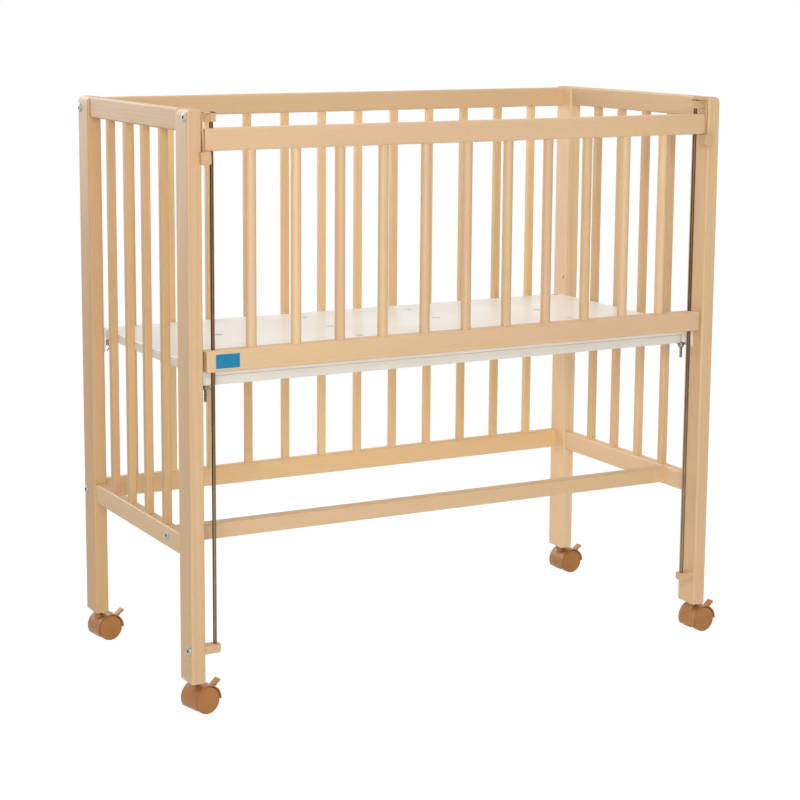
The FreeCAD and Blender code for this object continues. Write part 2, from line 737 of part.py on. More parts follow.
def make_catch(side):
    """A hanging catch whose shelf holds the gate up; drawn hanging straight from its pivot."""
    inward = -SIDES[side]
    name = "%s_gate_catch" % side
    arm_long = "(%s + catch_tab_tall/2)" % CATCH_DROP
    arm = box(name + "_arm", "catch_thick", "catch_wide", arm_long, "0", CATCH_Y,
              "-%s/2" % arm_long)
    head = cylinder(name + "_head", "catch_thick/2", "catch_wide", "Y", "0", CATCH_Y)
    shelf_deep = "(%s + catch_wide/2 - %s)" % (CATCH_Y, TAB_BACK_Y)
    shelf = box(name + "_shelf", "catch_shelf_long + catch_thick/2", shelf_deep, "catch_tab_tall",
                "%d*(catch_shelf_long/2 - catch_thick/4)" % inward,
                "%s + %s/2" % (TAB_BACK_Y, shelf_deep), "-%s - catch_tab_tall/2" % CATCH_DROP)
    tab = bar(name + "_tab", "catch_tab_long", "catch_tab_deep", "catch_tab_tall", "Y", (
        ("catch_tab_round", lambda share, way: way == "Y" and share.z < 0),
        ("catch_tab_round/4", lambda share, way: share.y < -0.99),
    ))
    place(tab, "%d*(catch_tab_long/2 - catch_tab_outward)" % inward,
          "%s - catch_tab_deep/2" % TAB_BACK_Y, "-%s - catch_tab_tall/2" % CATCH_DROP)
    bolt_hole = cylinder(name + "_bolt_hole", "bolt_radius + catch_bolt_slack",
                         "3*catch_thick", "X", z="%s - catch_pivot_up" % TOP_BRACKET_MID_UP)
    finish(name, cut(name, fuse(name + "_solid", [arm, head, shelf, tab]), [bolt_hole]),
           "%d*(%s - catch_pivot_out)" % (-inward, INNER_X), GATE_Y, level("catch_pivot_up"),
           Vector(0, 1, 0), "%d*catch_lean" % -inward)


ROD_BOTTOM_UP = "(bottom_bracket_up + bottom_bracket_tall - rod_seat)"
for side, out in SIDES.items():
    make_rod_bracket("%s_top_rod_bracket" % side, side, "top_bracket_tall", TOP_BRACKET_MID_UP,
                     -1, True)
    make_rod_bracket("%s_bottom_rod_bracket" % side, side, "bottom_bracket_tall",
                     BOTTOM_BRACKET_MID_UP, 1, False)
    make_catch(side)
    rod = cylinder("%s_rod" % side, "rod_radius", "top_bracket_up + rod_seat - " + ROD_BOTTOM_UP)
    finish("%s_guide_rod" % side, rod, "%d*%s" % (out, ROD_X), GATE_Y, level(ROD_BOTTOM_UP))


# ---------------------------------------------------------------- mattress board

BOARD_LONG = "(frame_length - 2*board_end)"
BOARD_DEEP = "(frame_depth - 2*board_front)"
CLAMP_HEAD_TALL = "(clamp_head_radius - clamp_radius)"


def countersink(name, x="0", y="0", z="0"):
    """The 45 degree head of a clamp bolt, its flat top at z."""
    cone = doc.addObject("Part::Cone", name)
    bind(cone, "Radius1", "clamp_radius")
    bind(cone, "Radius2", "clamp_head_radius")
    bind(cone, "Height", CLAMP_HEAD_TALL)
    return place(cone, x, y, "(%s) - %s" % (z, CLAMP_HEAD_TALL))


def make_board():
    """The board under the mattress, with vent holes and corners cut round the support legs."""
    name = "mattress_board"
    blank = bar(name + "_blank", BOARD_LONG, BOARD_DEEP, "board_thick", "Z",
                (("board_round", lambda share, way: way != "Z"),))
    holes = []
    for column in range(SIZES["vent_columns"]):
        for row in range(SIZES["vent_rows"]):
            holes.append(cylinder("vent_%d_%d" % (column, row), "vent_radius", "2*board_thick", "Z",
                                  "(%d - (vent_columns - 1)/2)*vent_column_pitch" % column,
                                  "(%d - (vent_rows - 1)/2)*vent_row_pitch" % row))
    for out in SIDES.values():
        for back in ROWS.values():
            mark = "%d_%d" % (out + 1, back + 1)
            x = "%d*%s" % (out, CLAMP_X)
            y = "%d*%s" % (back, SUPPORT_Y)
            holes.append(box("leg_notch_" + mark, "2*support_leg + 2*board_slack",
                             "support_deep + 2*board_slack", "2*board_thick",
                             "%d*%s" % (out, INNER_X), y))
            holes.append(cylinder("clamp_hole_" + mark, "clamp_radius", "2*board_thick", "Z", x, y))
            holes.append(countersink("clamp_sink_" + mark, x, y, "board_thick/2 - clamp_sink"))
            holes.append(cylinder("clamp_mouth_" + mark, "clamp_head_radius", "clamp_sink", "Z",
                                  x, y, "board_thick/2 - clamp_sink/2"))
    finish(name, cut(name, blank, holes), "0", "0", "-board_thick/2")


make_board()
front_strip = bar("front_strip", "2*(%s - support_long - strip_gap)" % INNER_X, "strip_deep",
                  "strip_tall", "X", (("board_round", runs("X")),))
finish("board_front_strip", front_strip, "0",
       "%s + board_front + strip_deep/2" % FRONT_Y, "-board_thick - strip_tall/2")


# ---------------------------------------------------------------- board supports

SCREW_UP = "(level_hole_up - board_up)"


def make_support(row, side):
    """A corner support; its own origin is on the post's face, level with the board's underside."""
    inward = -SIDES[side]
    back = ROWS[row]
    name = "%s_%s_board_support" % (row, side)
    block = bar(name + "_block", "support_long", "support_deep", "support_tall", "Y", (
        ("support_round", lambda share, way: way == "Y" and share.x * inward > 0 and share.z < 0),))
    place(block, "%d*support_long/2" % inward, "0", "-support_tall/2")
    leg_tall = "(board_thick + support_tall + support_leg_drop)"
    leg = box(name + "_leg", "support_leg", "support_deep", leg_tall,
              "%d*support_leg/2" % inward, "0", "board_thick - %s/2" % leg_tall)
    cavity_y = "%d*support_wall" % -back
    holes = [
        box(name + "_cavity", "support_long - support_leg - support_wall", "support_deep",
            "support_tall - 2*support_wall",
            "%d*(support_long + support_leg - support_wall)/2" % inward, cavity_y,
            "-support_tall/2"),
        box(name + "_screw_notch", "2*screw_head_tall", "support_deep", "support_tall",
            "%d*(support_leg + screw_head_tall)" % inward, cavity_y, "-support_tall"),
        cylinder(name + "_clamp_hole", "clamp_radius", "3*support_tall", "Z",
                 "%d*clamp_from_post" % inward),
        cylinder(name + "_screw_hole", "level_hole_radius", "3*support_leg", "X",
                 "%d*support_leg/2" % inward, "0", SCREW_UP),
    ]
    finish(name, cut(name, fuse(name + "_solid", [block, leg]), holes),
           "%d*%s" % (-inward, INNER_X), "%d*%s" % (back, SUPPORT_Y), level("board_up"))


clamp_bolt = fuse("clamp_bolt", [
    countersink("clamp_bolt_head"),
    cylinder("clamp_bolt_shank", "clamp_radius", "clamp_long", z="-clamp_long/2")])


def make_wing_nut():
    """A wing nut with its wings turned up; its origin is the wings' top."""
    hub_z = "-wing_tall + wing_hub_tall/2"
    pieces = [cylinder("wing_nut_hub", "wing_hub_radius", "wing_hub_tall", "Z", z=hub_z)]
    for way in (-1, 1):
        pieces.append(box("wing_nut_wing_%d" % (way + 1), "wing_span/2 - wing_hub_radius/2",
                          "wing_thick", "wing_tall/2",
                          "%d*(wing_span/4 + wing_hub_radius/4)" % way, "0", "-wing_tall/4"))
    return cut("wing_nut", fuse("wing_nut_solid", pieces),
               [cylinder("wing_nut_thread", "clamp_radius", "3*wing_tall")])


wing_nut = make_wing_nut()
support_screw = fuse("support_screw", [
    cylinder("support_screw_head", "screw_head_radius", "screw_head_tall", "X",
             "-screw_head_tall/2"),
    cylinder("support_screw_shank", "level_hole_radius", "support_leg + level_hole_deep", "X",
             "(support_leg + level_hole_deep)/2")])

clamp_bolts = []
wing_nuts = []
support_screws = []
for row, back in ROWS.items():
    for side, out in SIDES.items():
        make_support(row, side)
        mark = "%s_%s" % (row, side)
        x = "%d*%s" % (out, CLAMP_X)
        y = "%d*%s" % (back, SUPPORT_Y)
        clamp_bolts.append(copy("clamp_bolt_" + mark, clamp_bolt, x, y, "-clamp_sink"))
        if side == "left":  # screwed on with its hub to the support
            nut_up, nut_turn = "board_up - support_tall - wing_tall", "180"
        else:
            nut_up, nut_turn = "board_up - support_tall", "0"
        wing_nuts.append(copy("wing_nut_" + mark, wing_nut, x, y, level(nut_up),
                              Vector(1, 0, 0), nut_turn))
        support_screws.append(copy("support_screw_" + mark, support_screw,
                                   "%d*(%s - support_leg)" % (out, INNER_X), y,
                                   level("level_hole_up"), Vector(0, 0, 1),
                                   "0" if side == "right" else "180"))
finish("board_clamp_bolts", gather("clamp_bolts_group", clamp_bolts))
finish("board_wing_nuts", gather("wing_nuts_group", wing_nuts))
finish("support_screws", gather("support_screws_group", support_screws))


# ---------------------------------------------------------------- castors

HOOD_INNER = "(wheel_radius + hood_gap)"
HOOD_OUTER = "(wheel_radius + hood_gap + hood_wall)"
WHEEL_Y = "(web_thick/2 + wheel_web_gap + wheel_wide/2)"
CASTOR_WIDE = "(web_thick + 2*wheel_web_gap + 2*wheel_wide)"
PEDAL_X = "(castor_trail + pedal_pivot_reach*cos(pedal_angle))"
PEDAL_Z = "(wheel_radius + pedal_pivot_reach*sin(pedal_angle))"
STEM_BOTTOM = "(boss_top - stem_socket)"


def make_hood(name):
    """The curved cover over both wheels, open below and at the trailing side."""
    sector = doc.addObject("Part::Cylinder", name + "_sector")
    bind(sector, "Radius", HOOD_OUTER)
    bind(sector, "Height", CASTOR_WIDE)
    bind(sector, "Angle", "hood_sweep")
    sector.Placement = Placement(
        Vector(), Rotation(Vector(1, 0, 0), 90) * Rotation(Vector(0, 0, 1), SIZES["hood_start"]))
    bind(sector, ".Placement.Base.x", "castor_trail")
    bind(sector, ".Placement.Base.y", CASTOR_WIDE + "/2")
    bind(sector, ".Placement.Base.z", "wheel_radius")
    inside = cylinder(name + "_inside", HOOD_INNER, "2*" + CASTOR_WIDE, "Y", "castor_trail", "0",
                      "wheel_radius")
    return cut(name + "_shell", sector, [inside])


def make_castor_body(name):
    """Hood, middle web and swivel boss in one moulding, on the stem's axis with Z from the floor."""
    web_disc = cylinder(name + "_web_disc", HOOD_OUTER, "web_thick", "Y", "castor_trail", "0",
                        "wheel_radius")
    under = box(name + "_under", "4*" + HOOD_OUTER, "2*web_thick", "2*web_clear",
                "castor_trail")
    web = cut(name + "_web", web_disc, [under])
    boss = cylinder(name + "_boss", "web_thick/2", "boss_top - web_clear", "Z",
                    z="(boss_top + web_clear)/2")
    solid = fuse(name + "_solid", [make_hood(name), web, boss])
    slot_wide = "(pedal_hub_wide + 2*wheel_web_gap)"
    holes = [
        cylinder(name + "_stem_hole", "stem_radius + stem_fit", "stem_socket + wheel_web_gap + 2",
                 "Z", z="boss_top - (stem_socket + wheel_web_gap - 2)/2"),
        cylinder(name + "_axle_hole", "axle_radius", "2*web_thick", "Y", "castor_trail", "0",
                 "wheel_radius"),
        cylinder(name + "_pedal_hole", "pedal_hub_radius + pedal_hub_gap", slot_wide, "Y",
                 PEDAL_X, "0", PEDAL_Z),
        cylinder(name + "_pin_hole", "pedal_pin_radius + pedal_pin_fit", "2*web_thick", "Y",
                 PEDAL_X, "0", PEDAL_Z),
    ]
    for k, angle in enumerate(("pedal_angle", "(pedal_angle - pedal_travel)")):
        reach = "(2*pedal_neck)"
        slot = doc.addObject("Part::Box", "%s_pedal_slot_%d" % (name, k))
        slot_tall = "(pedal_thick + 2*pedal_hub_gap)"
        bind(slot, "Length", reach)
        bind(slot, "Width", slot_wide)
        bind(slot, "Height", slot_tall)
        place(slot, "%s + %s/2*sin(%s)" % (PEDAL_X, slot_tall, angle), "-%s/2" % slot_wide,
              "%s - %s/2*cos(%s)" % (PEDAL_Z, slot_tall, angle), Vector(0, 1, 0), "-%s" % angle)
        holes.append(slot)
    return cut(name, solid, holes)


def make_wheel(name, way):
    """One wheel with a blind bore, so that its outer face stays plain."""
    blank = round_bar(name + "_blank", "wheel_radius", "wheel_wide", "Y", ("wheel_round",))
    place(blank, "castor_trail", "%d*%s" % (way, WHEEL_Y), "wheel_radius")
    bore = cylinder(name + "_bore", "axle_radius + axle_fit", "wheel_wide - wheel_skin", "Y",
                    "castor_trail", "%d*(%s - wheel_skin/2)" % (way, WHEEL_Y), "wheel_radius")
    return cut(name, blank, [bore])


def make_pedal(name):
    """The brake pedal on its own pins, drawn along X from its pivot and then tipped up."""
    plate = bar(name + "_plate", "pedal_long", "pedal_wide", "pedal_thick", "X",
                (("pedal_round", lambda share, way: True),))
    place(plate, "pedal_neck + pedal_long/2")
    solid = fuse(name + "_solid", [
        plate,
        box(name + "_neck", "pedal_neck + pedal_round*2", "pedal_hub_wide", "pedal_thick",
            "pedal_neck/2 + pedal_round"),
        cylinder(name + "_hub", "pedal_hub_radius", "pedal_hub_wide", "Y"),
        cylinder(name + "_pins", "pedal_pin_radius", "pedal_hub_wide + 2*pedal_pin_reach", "Y"),
    ])
    return place(solid, PEDAL_X, "0", PEDAL_Z, Vector(0, 1, 0), "-pedal_angle")


stem = fuse("stem", [
    cylinder("stem_rod", "stem_radius", "castor_height + stem_seat - " + STEM_BOTTOM, "Z",
             z="(castor_height + stem_seat + %s)/2" % STEM_BOTTOM),
    cylinder("stem_flange", "flange_radius", "flange_tall", "Z",
             z="castor_height - flange_tall/2")])
stems = []
for (row, side), turn in CASTOR_TURNS.items():
    base = "%s_%s_castor" % (row, side)
    x = "%d*%s" % (SIDES[side], POST_X)
    y = "%d*%s" % (ROWS[row], POST_Y)
    stems.append(copy(base + "_stem", stem, x, y, level(FLOOR_UP)))
    pieces = {
        "body": make_castor_body(base + "_moulding"),
        "axle": cylinder(base + "_axle_bar", "axle_radius",
                         "2*(%s + wheel_wide/2 - wheel_skin - wheel_web_gap)" % WHEEL_Y, "Y",
                         "castor_trail", "0", "wheel_radius"),
        "near_wheel": make_wheel(base + "_near", -1),
        "far_wheel": make_wheel(base + "_far", 1),
        "pedal": make_pedal(base + "_brake"),
    }
    for part_name, piece in pieces.items():
        node = "%s_%s" % (base, part_name)
        finish(node, gather(node + "_piece", [piece]), x, y, level(FLOOR_UP), Vector(0, 0, 1),
               str(turn))
finish("castor_stems", gather("stems_group", stems))


# ---------------------------------------------------------------- check and write

doc.recompute()
failed = [thing.Name for thing in doc.Objects
          if "Invalid" in thing.State or "Error" in thing.State]
if failed:
    raise RuntimeError("failed objects: %s" % ", ".join(failed))
os.makedirs("parts", exist_ok=True)
for piece in NODES:
    if piece.Shape.isNull() or not piece.Shape.isValid():
        raise RuntimeError("bad shape: %s" % piece.Label)
    piece.Shape.exportStep("parts/%s.step" % piece.Label)
print("%d pieces written" % len(NODES))
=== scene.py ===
# %% [markdown]
# # A bedside crib in pale beech
#
# This crib stands beside the parents' bed. Four thin posts carry two slatted ends, a slatted back and
# a gate that slides down on two steel rods, and a white board inside it holds the mattress.

# %% Load the drawn parts
import math

import bmesh
import bpy
from mathutils import Matrix, Vector


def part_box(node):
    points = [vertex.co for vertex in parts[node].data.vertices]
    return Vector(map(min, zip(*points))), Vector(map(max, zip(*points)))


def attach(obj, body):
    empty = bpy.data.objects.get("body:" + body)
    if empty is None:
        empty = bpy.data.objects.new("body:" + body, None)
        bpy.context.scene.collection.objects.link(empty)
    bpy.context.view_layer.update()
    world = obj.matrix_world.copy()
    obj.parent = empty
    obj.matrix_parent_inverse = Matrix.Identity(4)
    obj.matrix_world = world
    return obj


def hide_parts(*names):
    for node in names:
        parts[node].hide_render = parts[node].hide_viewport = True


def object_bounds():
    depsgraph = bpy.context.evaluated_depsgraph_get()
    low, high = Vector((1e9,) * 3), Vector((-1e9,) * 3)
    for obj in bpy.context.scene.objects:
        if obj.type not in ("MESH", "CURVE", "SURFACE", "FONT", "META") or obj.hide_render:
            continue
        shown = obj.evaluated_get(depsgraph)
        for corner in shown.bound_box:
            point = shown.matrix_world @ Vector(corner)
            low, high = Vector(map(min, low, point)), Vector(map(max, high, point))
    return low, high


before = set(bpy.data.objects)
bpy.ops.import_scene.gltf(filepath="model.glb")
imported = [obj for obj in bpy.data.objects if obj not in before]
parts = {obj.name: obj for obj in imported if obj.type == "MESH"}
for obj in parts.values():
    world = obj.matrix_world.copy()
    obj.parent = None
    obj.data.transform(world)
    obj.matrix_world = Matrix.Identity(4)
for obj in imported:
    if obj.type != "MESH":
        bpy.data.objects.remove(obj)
cad_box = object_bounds()

# %% [markdown]
# ## The camera
#
# The likeness starts with the camera. Its place, its turn and its lens were worked out beforehand from
# 21 corners of the crib in the photograph, by the method of least squares. It stands to the left of the
# gate, looks a little down and is rolled by a fifth of a degree. The lens is shifted a little, as a
# photographer shifts a view camera, which moves the picture without leaning the posts any further.

# %% Set the camera
PICTURE_PIXELS = 800
SENSOR_MM = 36
FOCAL_PIXELS = 2069.26
OPTICAL_CENTRE = (348.41, 334.97)
CAMERA_PLACE = (-1.6384, -2.9861, 0.5476)
CAMERA_PITCH, CAMERA_YAW, CAMERA_ROLL = 9.387, 27.338, 0.188

lens = bpy.data.cameras.new("lens")
lens.sensor_width = SENSOR_MM
lens.lens = FOCAL_PIXELS * SENSOR_MM / PICTURE_PIXELS
centre_x, centre_y = (pixel / PICTURE_PIXELS for pixel in OPTICAL_CENTRE)
lens.shift_x = 0.5 - centre_x
lens.shift_y = centre_y - 0.5
camera = bpy.data.objects.new("camera", lens)
camera.location = CAMERA_PLACE
turn = Matrix.Rotation(math.radians(-CAMERA_YAW), 4, "Z")
tilt = Matrix.Rotation(math.radians(90 - CAMERA_PITCH), 4, "X")
roll = Matrix.Rotation(math.radians(CAMERA_ROLL), 4, "Z")
camera.rotation_euler = (turn @ tilt @ roll).to_euler()
bpy.context.collection.objects.link(camera)
scene = bpy.context.scene
scene.camera = camera
print(f"lens {lens.lens:.1f} mm, shifted by {lens.shift_x:.3f} and {lens.shift_y:.3f} of the width")

# %% [markdown]
# ## Numbers that vary over a surface
#
# A finish is a small sum over the surface: so much grain, so many flecks, a little dirt. Wiring each
# sum by hand takes a dozen nodes, so three helpers write them. `Value` wraps one output of a node, and
# adding or multiplying values makes the Math node behind it. `Nodes` makes every other kind of node
# from its type, its settings and what feeds its sockets, and `Finish` holds one material.

# %% Values that do arithmetic
class Value:
    """One varying number, colour or vector: the output of a node, which can be used in sums."""

    def __init__(self, nodes, socket):
        self.nodes = nodes
        self.socket = socket

    def math(self, operation, *others):
        inputs = dict(enumerate((self, *others)))
        return self.nodes.node("ShaderNodeMath", {"operation": operation}, inputs)

    def __add__(self, other):
        return self.math("ADD", other)

    __radd__ = __add__

    def __mul__(self, other):
        return self.math("MULTIPLY", other)

    __rmul__ = __mul__

    def __sub__(self, other):
        return self.math("SUBTRACT", other)

    def __rsub__(self, other):
        return (self * -1) + other

    def __truediv__(self, other):
        return self.math("DIVIDE", other)

    def __pow__(self, other):
        return self.math("POWER", other)

    def __abs__(self):
        return self.math("ABSOLUTE")

    def floor(self):
        return self.math("FLOOR")

    def between(self, low, high):
        """0 below low, 1 above high and a soft step between them."""
        sockets = {"Value": self, "From Min": low, "From Max": high}
        return self.nodes.node("ShaderNodeMapRange", {"interpolation_type": "SMOOTHSTEP"}, sockets)


# %% Nodes from one method
class Nodes:
    """The nodes of one material or world."""

    def __init__(self, tree):
        self.tree = tree

    def node(self, kind, settings=None, sockets=None, output=0):
        made = self.tree.nodes.new(kind)
        for name, value in (settings or {}).items():
            setattr(made, name, value)
        for name, value in (sockets or {}).items():
            self.feed(made.inputs[name], value)
        return Value(self, made.outputs[output])

    def feed(self, socket, value):
        if isinstance(value, Value):
            self.tree.links.new(value.socket, socket)
        else:
            socket.default_value = value

    def outputs_of(self, value):
        """All outputs of the node behind a value, as values."""
        return [Value(self, out) for out in value.socket.node.outputs]

    def shade(self, factor, first, second):
        """Two shaders mixed by a factor."""
        return self.node("ShaderNodeMixShader", {}, {0: factor, 1: first, 2: second})

    def close(self, kind, surface):
        """The output node, which has no outputs of its own."""
        self.feed(self.tree.nodes.new(kind).inputs["Surface"], surface)


# %% A material that makes its own nodes
class Finish(Nodes):
    """One material, built round a Principled shader."""

    def __init__(self, name):
        self.material = bpy.data.materials.new(name)
        self.material.use_nodes = True
        super().__init__(self.material.node_tree)
        self.shader = self.tree.nodes["Principled BSDF"]

    def set(self, **sockets):
        """Feeds the shader's own sockets. Base_Color stands for Base Color."""
        for name, value in sockets.items():
            self.feed(self.shader.inputs[name.replace("_", " ")], value)

    def point(self):
        """The place on the object, in metres, which is the same in every pose."""
        return self.node("ShaderNodeTexCoord", output="Object")

    def parts_of(self, vector):
        """The x, y and z of a vector."""
        return self.outputs_of(self.node("ShaderNodeSeparateXYZ", sockets={0: vector}))

    def vector(self, x=0.0, y=0.0, z=0.0):
        return self.node("ShaderNodeCombineXYZ", sockets={0: x, 1: y, 2: z})

    def stretch(self, vector, scale, shift=(0, 0, 0)):
        sockets = {0: vector, "Location": shift, "Scale": scale}
        return self.node("ShaderNodeMapping", sockets=sockets)

    def noise(self, vector, scale=1.0, detail=2.0, roughness=0.5):
        sockets = {"Vector": vector, "Scale": scale, "Detail": detail, "Roughness": roughness}
        return self.node("ShaderNodeTexNoise", {}, sockets)

    def mix(self, factor, first, second, how="MIX"):
        """A colour between two, by a varying factor."""
        settings = {"data_type": "RGBA", "blend_type": how}
        sockets = {0: factor, 6: first, 7: second}
        return self.node("ShaderNodeMix", settings, sockets, output=2)

    def bump(self, height, depth):
        """A normal that follows a height, where 1 stands depth metres above 0."""
        sockets = {"Height": height, "Distance": depth, "Strength": 1.0}
        return self.node("ShaderNodeBump", {}, sockets)


def srgb(red, green, blue):
    """A colour as a paint chart gives it, from 0 to 255, turned into the shader's linear one."""
    linear = []
    for step in (red, green, blue):
        share = step / 255
        linear.append(share / 12.92 if share <= 0.04045 else ((share + 0.055) / 1.055) ** 2.4)
    return (*linear, 1.0)


print("Value, Nodes and Finish are ready")

# %% [markdown]
# ## Steamed beech
#
# Nearly all of the crib is beech under a clear satin lacquer. Beech is pale and even: broad soft bands
# run from pinkish to straw, the year rings draw thin lines, and short dark flecks, the cut rays, lie
# along the grain. All of it is worked out from the point in space, as if each stick were sawn from a
# log, so the faces of a stick agree with each other and its ends show the rings.
#
# A row of slats is one drawn part. Its sticks come from different planks, so the row is divided into
# cells, and each cell looks at another place in the log and gets its own slight tone.

# %% The wood
AXES = "XYZ"
RINGS_PER_METRE, RING_OVAL = 260, 1.35
PITH_AWAY = (0.031, 0.043)
END_GRAIN_DARKER = 0.10


def beech(name, along, warm, pale, seed, pitch=None, across=None, centre=0.0, shade=0.0):
    """Beech whose grain runs along one axis. pitch and across divide a row into its sticks.

    centre is the middle of one of the sticks, and shade is how far their tones go apart.
    """
    wood = Finish(name)
    point = wood.point()
    xyz = wood.parts_of(point)
    shift = Vector((seed * 1.37 % 5, seed * 2.11 % 5, seed * 3.73 % 5))
    stick_tone = 0.0
    place = point
    if pitch:
        stick = (xyz[AXES.index(across)] - (centre - pitch / 2)) / pitch
        number = stick.floor() + seed * 10
        chance = wood.node("ShaderNodeTexWhiteNoise", {"noise_dimensions": "1D"}, {"W": number})
        stick_tone = (chance - 0.5) * 2 * shade
        jump = wood.vector(number * 0.731, number * 0.417, number * 1.193)
        place = wood.node("ShaderNodeVectorMath", {"operation": "ADD"}, {0: point, 1: jump})

    def grain(wide, long):
        scale = [wide] * 3
        scale[AXES.index(along)] = long
        return wood.stretch(place, scale, shift)

    bands = wood.noise(grain(26, 0.9), detail=3, roughness=0.45).between(0.30, 0.70)
    drift = wood.noise(grain(6, 2.6), detail=1).between(0.30, 0.70)
    bend = wood.noise(grain(9, 1.3), detail=2)
    ring_place = wood.parts_of(grain(1, 0.02))
    side = [axis for axis in AXES if axis != along]
    one, two = (ring_place[AXES.index(axis)] for axis in side)
    from_pith = ((one + PITH_AWAY[0]) ** 2 + (two * RING_OVAL + PITH_AWAY[1]) ** 2).math("SQRT")
    rings = (from_pith * RINGS_PER_METRE + bend * 3.2).math("FRACT")
    late_wood = rings.between(0.55, 0.98) - rings.between(0.985, 1.0)
    fibres = wood.noise(grain(700, 9), detail=2)
    flecks = wood.noise(grain(1150, 130), detail=0).between(0.66, 0.74)

    tone = bands * 0.75 + drift * 0.25
    colour = wood.mix(tone, warm, pale)
    darker = late_wood * 0.050 + (fibres - 0.5) * 0.055 + flecks * 0.055 + stick_tone
    facing = wood.parts_of(wood.node("ShaderNodeTexCoord", output="Normal"))[AXES.index(along)]
    darker = darker + abs(facing).between(0.7, 0.9) * END_GRAIN_DARKER
    light = 1 - darker
    dimmed = wood.vector(light, light - darker * 0.12, light - darker * 0.35)
    colour = wood.mix(1.0, colour, dimmed, "MULTIPLY")
    wood.set(
        Base_Color=colour,
        Roughness=0.44 + (fibres - 0.5) * 0.16 + flecks * 0.10,
        Normal=wood.bump(fibres * 0.6 - flecks * 0.8 - late_wood * 0.3, 0.00003),
    )
    wood.shader.inputs["Coat Roughness"].default_value = 0.35
    wood.shader.inputs["Coat Weight"].default_value = 0.04
    wood.shader.inputs["Specular IOR Level"].default_value = 0.32
    wood.shader.inputs["IOR"].default_value = 1.46
    return wood.material


def give(node, material):
    """Paints a drawn part."""
    slots = parts[node].data.materials
    if len(slots) == 0:
        slots.append(material)
    for number in range(len(slots)):
        slots[number] = material


# %% [markdown]
# The crib has six tones of the same wood, from cream to amber, partly the wood's own and partly painted
# light.
# Each drawn part gets the tone nearest to what it has in the photograph, light and shade included, where the
# left end is mostly the darkest, the gate is rosy and the back's slats are gold. The left end's amber is
# painted shade, the cream of the back right post and the right end's bottom rail is painted light on their
# inner faces, and the back's gold is partly a painted warm glow of light bounced between the parts. A row of
# slats or spindles also varies from stick to stick.

# %% Paint the wooden parts
# Tones of one beech: the lighter ones partly paint light and the darker ones partly paint shade.
LIT_CREAM = (srgb(233, 198, 161), srgb(235, 203, 157))
BOUNCE_LIT_GOLD = (srgb(232, 193, 147), srgb(235, 199, 145))
ROSY = (srgb(218, 182, 146), srgb(220, 188, 143))
STRAW = (srgb(218, 181, 141), srgb(222, 189, 141))
HONEY = (srgb(210, 174, 135), srgb(213, 181, 133))
SHADED_AMBER = (srgb(200, 161, 120), srgb(205, 169, 120))

POSTS = {"front_left": HONEY, "front_right": STRAW, "back_left": SHADED_AMBER, "back_right": LIT_CREAM}
for seed, (corner, tone) in enumerate(POSTS.items()):
    give(f"{corner}_post", beech(f"beech {corner} post", "Z", *tone, seed + 1))

END_RAILS = {
    "left_end_top_rail": SHADED_AMBER,
    "left_end_bottom_rail": STRAW,
    "right_end_top_rail": ROSY,
    "right_end_bottom_rail": LIT_CREAM,
}
for seed, (name, tone) in enumerate(END_RAILS.items()):
    give(name, beech(f"beech {name}", "Y", *tone, 7 + seed))

END_SLATS = {"left_end_slats": SHADED_AMBER, "right_end_slats": STRAW}
END_PITCH = 0.073
for seed, (name, tone) in enumerate(END_SLATS.items()):
    give(name, beech(f"beech {name}", "Z", *tone, 13 + seed, END_PITCH, "Y", END_PITCH / 2, 0.06))

LONG_RAILS = {
    "back_top_rail": ROSY,
    "back_bottom_rail": BOUNCE_LIT_GOLD,
    "lower_stretcher": ROSY,
    "gate_top_rail": ROSY,
    "gate_bottom_rail": ROSY,
}
for seed, (name, tone) in enumerate(LONG_RAILS.items()):
    give(name, beech(f"beech {name}", "X", *tone, 17 + seed))

BACK_PITCH, SPINDLE_PITCH = 0.07086, 0.074
give("back_slats", beech("beech back slats", "Z", *BOUNCE_LIT_GOLD, 29, BACK_PITCH, "X", BACK_PITCH / 2, 0.07))
give("gate_spindles", beech("beech gate spindles", "Z", *ROSY, 31, SPINDLE_PITCH, "X", 0.0, 0.07))
give("dowels", beech("beech dowels", "X", *HONEY, 37))
print(f"{len(bpy.data.materials)} materials so far")

# %% [markdown]
# ## The white board
#
# The mattress board is faced with white melamine. It isn't a dead white: it is a little warm, slightly
# duller in soft patches where it was handled, and it has the faint orange-peel of a pressed foil. The
# strip under its front edge is painted wood, so it shows brush marks along its length.

# %% Paint the board, its strip and its supports
def melamine(name, colour, worn):
    foil = Finish(name)
    point = foil.point()
    patches = foil.noise(point, 7, detail=3, roughness=0.6).between(0.35, 0.75)
    dust = foil.noise(point, 260, detail=2).between(0.62, 0.80)
    peel = foil.noise(point, 900, detail=1)
    foil.set(
        Base_Color=foil.mix(patches * 0.55 + dust * 0.20, colour, worn),
        Roughness=0.30 + patches * 0.10 + dust * 0.12,
        Normal=foil.bump(peel, 0.00002),
    )
    return foil.material


def painted(name, colour, worn, along):
    paint = Finish(name)
    scale = [420] * 3
    scale[AXES.index(along)] = 11
    strokes = paint.noise(paint.stretch(paint.point(), scale), detail=2)
    patches = paint.noise(paint.point(), 16, detail=2).between(0.35, 0.75)
    paint.set(
        Base_Color=paint.mix(strokes * 0.35 + patches * 0.35, colour, worn),
        Roughness=0.34 + strokes * 0.14,
        Normal=paint.bump(strokes, 0.00003),
    )
    return paint.material


give("mattress_board", melamine("white melamine", srgb(241, 237, 229), srgb(233, 227, 216)))
give("board_front_strip", painted("white paint", srgb(221, 218, 208), srgb(209, 206, 193), "X"))

# %% [markdown]
# ## Moulded plastic
#
# The supports, the rod brackets, the catches and the castors are moulded. A moulding is satin where the
# mould was etched: a very fine even texture, with a slow drift of tone where the melt cooled
# differently, and rubbed spots that are shinier. The castors are brown, and their wheels also have pale
# scuffs from the floor.

